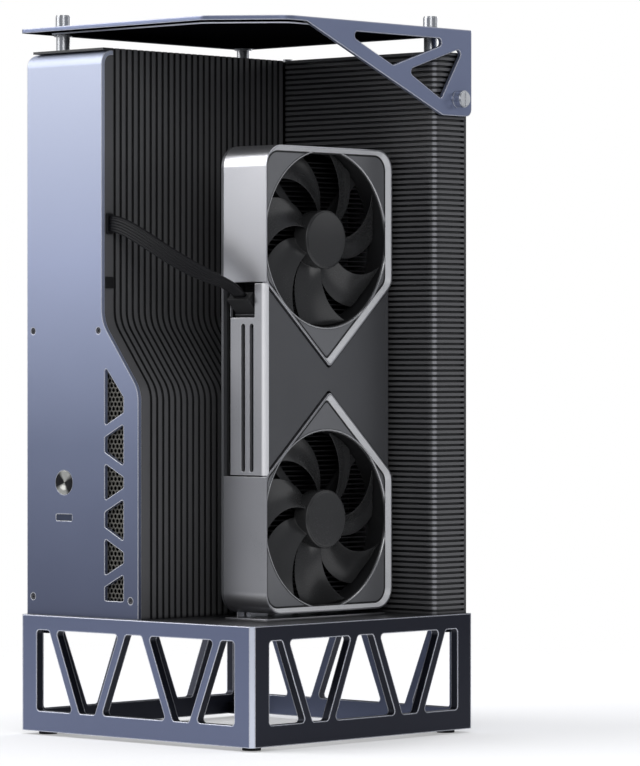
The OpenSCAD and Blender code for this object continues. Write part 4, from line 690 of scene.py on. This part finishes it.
# Painted light on the fascia: slate at its foot, pale lavender towards its top
FASCIA_LIGHT_RISE = (0.079, 0.450)
PLATE_RISE = (0.460, 0.4612)
FASCIA_LIGHT_STOPS = [
    (0.0, (0.085, 0.1, 0.165)),
    (0.3, (0.185, 0.215, 0.325)),
    (0.62, (0.42, 0.47, 0.66)),
    (1.0, (0.62, 0.67, 0.83)),
]


def fascia_painted_light(tree):
    """Painted light: slate at the foot of the fascia, lavender near its top, where more light
    falls.
    """
    ramp = tree.nodes.new("ShaderNodeValToRGB")
    tree.links.new(height_mask(tree, *FASCIA_LIGHT_RISE), ramp.inputs["Fac"])
    while len(ramp.color_ramp.elements) < len(FASCIA_LIGHT_STOPS):
        ramp.color_ramp.elements.new(0.5)
    for element, (place, colour) in zip(ramp.color_ramp.elements, FASCIA_LIGHT_STOPS):
        element.position = place
        element.color = (*colour, 1)
    return ramp.outputs["Color"]


def looks_down(tree):
    """1 on the faces of the top plate that look down, 0 elsewhere."""
    down = spread(tree, facing_parts(tree)["Z"], -0.4, -0.8, 0.0, 1.0)
    return math_node(tree, "MULTIPLY", down, height_mask(tree, *PLATE_RISE))


def plate_painted_shade(tree):
    """Slate blue, with painted shade: black on the faces that look down from the top plate."""
    return mix_colours(tree, looks_down(tree), PLATE_BLUE, (0.003, 0.003, 0.004))


def panel_painted_shade(tree):
    """Slate on the faces that look forward or back, and painted shade in navy on the walls of the
    windows.
    """
    flatness = math_node(tree, "ABSOLUTE", facing_parts(tree)["Y"])
    outward = spread(tree, flatness, 0.5, 0.9, 0.0, 1.0)
    return mix_colours(tree, outward, SHADE_NAVY, SLATE)


def bevel_painted_light(tree):
    """A painted highlight in pale on the bevel itself, and painted shade in navy on the blocks
    behind it.
    """
    facing = facing_parts(tree)
    slanted = math_node(tree, "MULTIPLY", facing["X"], facing["Y"])
    slanted = spread(tree, math_node(tree, "ABSOLUTE", slanted), 0.3, 0.45, 0.0, 1.0)
    return mix_colours(tree, slanted, SHADE_NAVY, (0.8, 0.84, 0.96))


blue_metal = finish_of(
    "blue_metal", panel_painted_shade, rough=(0.36, 0.46), metal=0.65, dusty=0.05, **SLATE_EDGE
)
# The base's side panels are a shaded copy of the blue metal: navy as painted shade
painted_shade_side_metal = finish_of("painted_shade_side_metal", SHADE_NAVY, rough=(0.36, 0.46), metal=0.65, **SLATE_EDGE)
plate_metal = finish_of(
    "plate_metal", plate_painted_shade, rough=(0.3, 0.4), metal=PLATE_METAL, Specular_IOR_Level=0.0,
    **SLATE_EDGE,
)
tree = plate_metal.node_tree
plate_skin = tree.nodes["Principled BSDF"]
# The painted shade under the plate also takes the metal away there, so the underside stays black
plate_metallic = spread(tree, looks_down(tree), 0.0, 1.0, PLATE_METAL, 0.0)
tree.links.new(plate_metallic, plate_skin.inputs["Metallic"])
fascia_metal = finish_of(
    "fascia_metal", fascia_painted_light, rough=(0.36, 0.46), metal=0.35, edge=(0.95, 0.96, 1.0),
    edge_radius=0.001, edge_gain=9.0,
)
bevel_metal = finish_of("bevel_metal", bevel_painted_light, rough=(0.28, 0.38), metal=0.7)

# %% [markdown]
# ### Black shells, plastics and rubber
# The towers' covers are ribbed black aluminium with a satin coat. The plastics are duller, and
# rubber is duller still. They differ mostly in roughness and grain, so one helper makes all.

# %% Black finishes
def ribs_painted_light(tree):
    """Satin black on the ribs' crowns, painted shade in deep black in the grooves, and a painted
    highlight in pale on the round corner.
    """
    # Painted shade: darker where the grooves close in
    crown = openness(tree, 0.003, 0.45, 0.95)
    tone = mix_colours(tree, crown, (0.008, 0.008, 0.009), (0.15, 0.149, 0.152))
    facing = tree.nodes.new("ShaderNodeNewGeometry")
    towards = tree.nodes.new("ShaderNodeVectorMath")
    towards.operation = "DOT_PRODUCT"
    towards.inputs[1].default_value = (0.7071, -0.7071, 0)
    tree.links.new(facing.outputs["Normal"], towards.inputs[0])
    # Painted highlight: a pale column where the rounded corner faces the front right
    corner_highlight = spread(tree, towards.outputs["Value"], 0.955, 0.995, 0.0, 1.0)
    return mix_colours(tree, math_node(tree, "MULTIPLY", corner_highlight, crown), tone, (0.4, 0.4, 0.42))


ribbed_shell = finish_of(
    "ribbed_shell", ribs_painted_light, rough=(0.34, 0.46), grain_scale=1500.0, bump=0.12,
    edge_radius=0.0003,
)
black_shell = finish_of(
    "black_shell", (0.05, 0.05, 0.052), rough=(0.34, 0.46), grain_scale=1500.0, bump=0.12,
    edge=(0.12, 0.12, 0.125), edge_radius=0.0003, dusty=0.15,
)
deck_black = finish_of("deck_black", (0.02, 0.02, 0.024), rough=(0.3, 0.42), dusty=0.25)
black_plastic = finish_of("black_plastic", (0.014, 0.014, 0.015), rough=(0.45, 0.6), bump=0.2)
foot_rubber = finish_of("foot_rubber", (0.012, 0.012, 0.013), rough=(0.7, 0.85), bump=0.3)
lead_skin = finish_of(
    "lead_skin", (0.009, 0.009, 0.0105), rough=(0.42, 0.58), grain_scale=2600.0, bump=0.3,
    Specular_IOR_Level=0.22,
)
fan_black = finish_of(
    "fan_black", (0.04, 0.04, 0.0405), rough=(0.22, 0.3), grain_scale=1800.0, bump=0.08,
)
mesh_black = finish_of("mesh_black", (0.13, 0.125, 0.11), rough=(0.4, 0.5), metal=0.5)

# %% [markdown]
# ### The card's metals
# The card's frame is bead-blasted silver aluminium, painted paler towards the top as painted
# light, and its centre and corners are a dark coating, with painted light and shade on the
# corners. The fins behind the fans are painted nearly black as painted shade, because they are
# only dimly seen between the blades.

# %% Card finishes
# Painted light on the card's silver: paler towards the top
SILVER_LIGHT_RISE = (0.2, 0.39)
# Depths of the painted highlight along the rail's front edge
HIGHLIGHT_DEPTHS = (4.6, 3.2)
RAIL_METAL = 0.75
HIGHLIGHT_METAL = 0.05


def silver_painted_light(tree):
    """Silver with painted light: paler towards the top of the card, where more light falls."""
    rise = height_mask(tree, *SILVER_LIGHT_RISE)
    return mix_colours(tree, rise, (0.46, 0.46, 0.48), (0.72, 0.72, 0.75))


card_silver = finish_of(
    "card_silver", silver_painted_light, rough=(0.26, 0.34), metal=0.9, grain_scale=2200.0,
    edge=(0.85, 0.85, 0.87), edge_radius=0.0006, edge_gain=1.5,
)
card_dark = finish_of(
    "card_dark", (0.13, 0.132, 0.139), rough=(0.34, 0.44), metal=0.4, grain_scale=2200.0,
    edge=(0.14, 0.14, 0.145), edge_radius=0.0004,
)


def inlay_painted_shade(tree):
    """Dark coating, lighter than the card's centre as painted light, and near black along the rim
    as painted shade.
    """
    clear_of_rim = openness(tree, 0.004, 0.62, 0.84)
    return mix_colours(tree, clear_of_rim, (0.01, 0.01, 0.011), (0.25, 0.252, 0.262))


def highlight_strip_mask(tree):
    """1 on the last few millimetres before the card's face, 0 behind them."""
    low, high = (at(X_FACE - depth, 0, 0).x for depth in HIGHLIGHT_DEPTHS)
    return spread(tree, place_parts(tree)["X"], low, high, 0.0, 1.0)


def rail_painted_highlight(tree):
    """Silver with a painted highlight in pale along the rail's rounded front edge."""
    return mix_colours(tree, highlight_strip_mask(tree), (0.5, 0.5, 0.52), (0.98, 0.98, 0.99))


inlay_dark = finish_of(
    "inlay_dark", inlay_painted_shade, rough=(0.34, 0.44), metal=0.4, grain_scale=2200.0,
)
rail_silver = finish_of(
    "rail_silver", rail_painted_highlight, rough=(0.26, 0.34), metal=RAIL_METAL, grain_scale=2200.0,
    edge=(0.85, 0.85, 0.87), edge_radius=0.0006, edge_gain=3.0,
)
tree = rail_silver.node_tree
rail_skin = tree.nodes["Principled BSDF"]
# The painted highlight also takes the metal away, so the strip stays pale
rail_metallic = spread(tree, highlight_strip_mask(tree), 0.0, 1.0, RAIL_METAL, HIGHLIGHT_METAL)
tree.links.new(rail_metallic, rail_skin.inputs["Metallic"])
# The bevel's near-white colour is a painted highlight on its silver
bevel_highlight_silver = finish_of(
    "bevel_highlight_silver", (0.97, 0.97, 0.98), rough=(0.25, 0.35), metal=0.05, grain_scale=2200.0,
    bump=0.02, tone=0.02,
)
# The fins are painted nearly black as painted shade, since they sit in the dark behind the fans
fin_metal = finish_of("fin_metal", (0.035, 0.035, 0.037), rough=(0.35, 0.5), metal=0.4)

# %% [markdown]
# ### Steel, brass, boards and the light
# Posts, cap screws and the thumbscrew are bright steel with fine upright lines. The screws of
# the deck, the supply and the fascia are dark, and the button is spun metal. Boards and brass
# hardly show, but they're finished all the same.

# %% Small parts
bright_steel = finish_of(
    "bright_steel", (0.62, 0.63, 0.65), rough=(0.16, 0.3), metal=1.0, lines_on=True,
    edge=(0.85, 0.86, 0.88), edge_radius=0.0003,
)
dark_steel = finish_of(
    "dark_steel", (0.12, 0.12, 0.13), rough=(0.3, 0.42), metal=0.9, edge=(0.4, 0.4, 0.42),
    edge_radius=0.0003,
)
ring_metal = finish_of("ring_metal", (0.5, 0.5, 0.51), rough=(0.2, 0.28), metal=0.6)
brass = finish_of("brass", (0.6, 0.42, 0.14), rough=(0.25, 0.35), metal=1.0)
board_green = finish_of("board_green", (0.012, 0.055, 0.035), rough=(0.3, 0.4), Coat_Weight=0.3)
board_black = finish_of("board_black", (0.008, 0.009, 0.009), rough=(0.35, 0.5), Coat_Weight=0.2)


BUTTON_CENTRE = at(-67.7, -102.7, 166.5)
# The button's sectors are a painted reflection
REFLECTION_TURN = -0.5


def spun_painted_reflection(tree):
    """Painted reflection: light and dark sectors, as a face turned on a lathe reflects them, about
    the button's centre.
    """
    where = tree.nodes.new("ShaderNodeTexCoord")
    centred = tree.nodes.new("ShaderNodeVectorMath")
    centred.operation = "SUBTRACT"
    centred.inputs[1].default_value = BUTTON_CENTRE
    tree.links.new(where.outputs["Object"], centred.inputs[0])
    parts = tree.nodes.new("ShaderNodeSeparateXYZ")
    tree.links.new(centred.outputs[0], parts.inputs[0])
    angle = math_node(tree, "ARCTAN2", parts.outputs["X"], parts.outputs["Z"])
    doubled = math_node(tree, "MULTIPLY", angle, 2.0)
    wave = math_node(tree, "COSINE", math_node(tree, "ADD", doubled, REFLECTION_TURN))
    light = spread(tree, wave, -0.35, 0.55, 0.0, 1.0)
    return mix_colours(tree, light, (0.02, 0.02, 0.022), (0.5, 0.5, 0.47))


spun_metal = finish_of("spun_metal", spun_painted_reflection, rough=(0.3, 0.4), metal=0.8)
light_lens = finish_of(
    "light_lens", (0.035, 0.045, 0.08), rough=(0.12, 0.2), bump=0.01, Coat_Weight=0.6,
)

# %% [markdown]
# ## Dressing the CAD nodes
# Most CAD shapes are already right, and they only need their finish. One table says which
# finish each node gets, and one loop puts it in the object's material slots.

# %% Assign finishes
FINISHES = [
    (blue_metal, "base_front_panel base_rear_panel"),
    (painted_shade_side_metal, "base_left_panel base_right_panel"),
    (plate_metal, "top_plate"),
    (fascia_metal, "front_fascia"),
    (bevel_metal, "base_corners"),
    (
        black_shell,
        "left_shell power_tower_cap power_rear_panel dock_rear_panel dock_tower_cap psu_case",
    ),
    (ribbed_shell, "ribbed_side_cover dock_front_cover"),
    (deck_black, "base_deck"),
    (foot_rubber, "rubber_feet"),
    (
        black_plastic,
        "psu_fan power_inlet power_rocker lead_grommet spare_outlet_plug lead_plug card_slot"
        " card_fan_duct card_fan_mounts",
    ),
    (lead_skin, "power_lead"),
    (fan_black, "upper_fan lower_fan"),
    (mesh_black, "vent_mesh"),
    (card_silver, "card_upper_cap card_lower_cap card_bracket"),
    (rail_silver, "card_side_rail"),
    (card_dark, "card_backplate card_slot_rail card_centre_face card_socket"),
    (inlay_dark, "card_corner_inlays"),
    (fin_metal, "card_fin_stack chip_heatsink"),
    (
        bright_steel,
        "psu_fan_guard tower_tie_bolt plate_posts plate_screws thumb_washer"
        " thumbscrew rear_ports display_ports slot_latch",
    ),
    (spun_metal, "power_button"),
    (dark_steel, "deck_screws psu_screws fascia_screws"),
    (brass, "board_standoffs"),
    (board_green, "switch_board main_board"),
    (board_black, "card_board"),
    (light_lens, "status_light"),
]
for material, names in FINISHES:
    for name in names.split():
        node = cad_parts[name]
        for place in node.material_slots:
            place.link = "OBJECT"
            place.material = material
lead.data.materials.append(lead_skin)
for place in FAN_HEIGHTS:
    fans[place].data.materials.append(fan_black)
    bevels[place].data.materials.append(bevel_highlight_silver)
    shadow_strips[place].data.materials.append(black_plastic)
    rings_of_bores[place].data.materials.append(ring_metal)
bare = [n for n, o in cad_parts.items() if any(s.material is None for s in o.material_slots)]
dressed = {n for _, names in FINISHES for n in names.split()}
print("nodes without a finish", sorted(set(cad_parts) - dressed), bare)

# %% [markdown]
# ## Floor
# The photograph is a white studio shot with a soft shadow on a pale floor. A large plane
# carries the shadow, and it turns clear away from the object, so that it melts into the white
# background. A faint glow, which only the camera, reflections and clear surfaces see, lifts
# the plane to nearly white.

# %% Floor
FLOOR_REACH = 3.0
PAPER_GLOW = 0.36
PAPER_FADE = (0.45, 0.9)
floor = new_piece(
    "floor",
    [(-FLOOR_REACH, -FLOOR_REACH, 0), (FLOOR_REACH, -FLOOR_REACH, 0),
     (FLOOR_REACH, FLOOR_REACH, 0), (-FLOOR_REACH, FLOOR_REACH, 0)],
    [(0, 1, 2, 3)],
    "chassis",
    smooth=False,
)
paper = bpy.data.materials.new("studio_paper")
paper.use_nodes = True
tree = paper.node_tree
tree.nodes.remove(tree.nodes["Principled BSDF"])
matt = tree.nodes.new("ShaderNodeBsdfDiffuse")
matt.inputs["Color"].default_value = (0.86, 0.86, 0.87, 1)
glow = tree.nodes.new("ShaderNodeEmission")
glow.inputs["Color"].default_value = (1, 1, 1, 1)
seen = tree.nodes.new("ShaderNodeLightPath")
direct = math_node(tree, "MAXIMUM", seen.outputs["Is Camera Ray"], seen.outputs["Is Glossy Ray"])
direct = math_node(tree, "MAXIMUM", direct, seen.outputs["Is Transmission Ray"])
tree.links.new(math_node(tree, "MULTIPLY", direct, PAPER_GLOW), glow.inputs["Strength"])
lit = tree.nodes.new("ShaderNodeAddShader")
tree.links.new(matt.outputs[0], lit.inputs[0])
tree.links.new(glow.outputs[0], lit.inputs[1])
clear = tree.nodes.new("ShaderNodeBsdfTransparent")
where = tree.nodes.new("ShaderNodeTexCoord")
reach = tree.nodes.new("ShaderNodeVectorMath")
reach.operation = "LENGTH"
tree.links.new(where.outputs["Object"], reach.inputs[0])
fade = spread(tree, reach.outputs["Value"], *PAPER_FADE, 0.0, 1.0)
edge_of_paper = tree.nodes.new("ShaderNodeMixShader")
tree.links.new(fade, edge_of_paper.inputs["Fac"])
tree.links.new(lit.outputs[0], edge_of_paper.inputs[1])
tree.links.new(clear.outputs[0], edge_of_paper.inputs[2])
tree.links.new(edge_of_paper.outputs[0], tree.nodes["Material Output"].inputs["Surface"])
floor.data.materials.append(paper)

# %% [markdown]
# ## World
# The camera sees plain white behind the object. Everything else gets a dim, slightly cool
# light from all round, so that the black parts stay black.

# %% World
world = bpy.data.worlds.new("studio_air")
world.use_nodes = True
bpy.context.scene.world = world
tree = world.node_tree
tree.nodes.clear()
ambient = tree.nodes.new("ShaderNodeBackground")
ambient.inputs["Color"].default_value = (0.9, 0.93, 1.0, 1)
ambient.inputs["Strength"].default_value = 0.3
white = tree.nodes.new("ShaderNodeBackground")
white.inputs["Color"].default_value = (1, 1, 1, 1)
white.inputs["Strength"].default_value = 1.0
seen = tree.nodes.new("ShaderNodeLightPath")
choose = tree.nodes.new("ShaderNodeMixShader")
tree.links.new(seen.outputs["Is Camera Ray"], choose.inputs["Fac"])
tree.links.new(ambient.outputs[0], choose.inputs[1])
tree.links.new(white.outputs[0], choose.inputs[2])
air = tree.nodes.new("ShaderNodeOutputWorld")
tree.links.new(choose.outputs[0], air.inputs["Surface"])

# %% [markdown]
# ## Lamps
# Five soft lamps light the object. The broad key at the front left makes the fascia and the
# card's near edge bright. A weaker lamp at the front right fills the fans' side, which looks
# away from the key. A faint one stands at the back right, a tall strip stands behind, and a
# soft lamp hangs above.


# %% Lamps
def lamp(name, place, aim, width, height, watts):
    """A rectangular soft lamp that points at a place."""
    data = bpy.data.lights.new(name, "AREA")
    data.shape = "RECTANGLE"
    data.size = width
    data.size_y = height
    data.energy = watts
    item = bpy.data.objects.new(name, data)
    item.location = place
    item.rotation_mode = "QUATERNION"
    item.rotation_quaternion = (Vector(aim) - Vector(place)).to_track_quat("-Z", "Y")
    bpy.context.scene.collection.objects.link(item)


MIDDLE = (0, 0, 0.25)
# Place, aim, width and height are in metres, and the last number is in watts
lamp("key", (-1.6, -1.75, 1.65), MIDDLE, 2.2, 2.2, 44)
lamp("front_fill", (1.9, -1.6, 1.2), MIDDLE, 1.2, 1.2, 9)
lamp("right_back", (1.5, 1.7, 1.1), MIDDLE, 1.2, 1.2, 3)
lamp("back_strip", (-0.5, 2.4, 0.6), MIDDLE, 0.7, 1.8, 16)
lamp("top_soft", (0.1, 0.2, 2.4), MIDDLE, 1.6, 1.6, 12)
bpy.context.scene.view_settings.view_transform = "Standard"
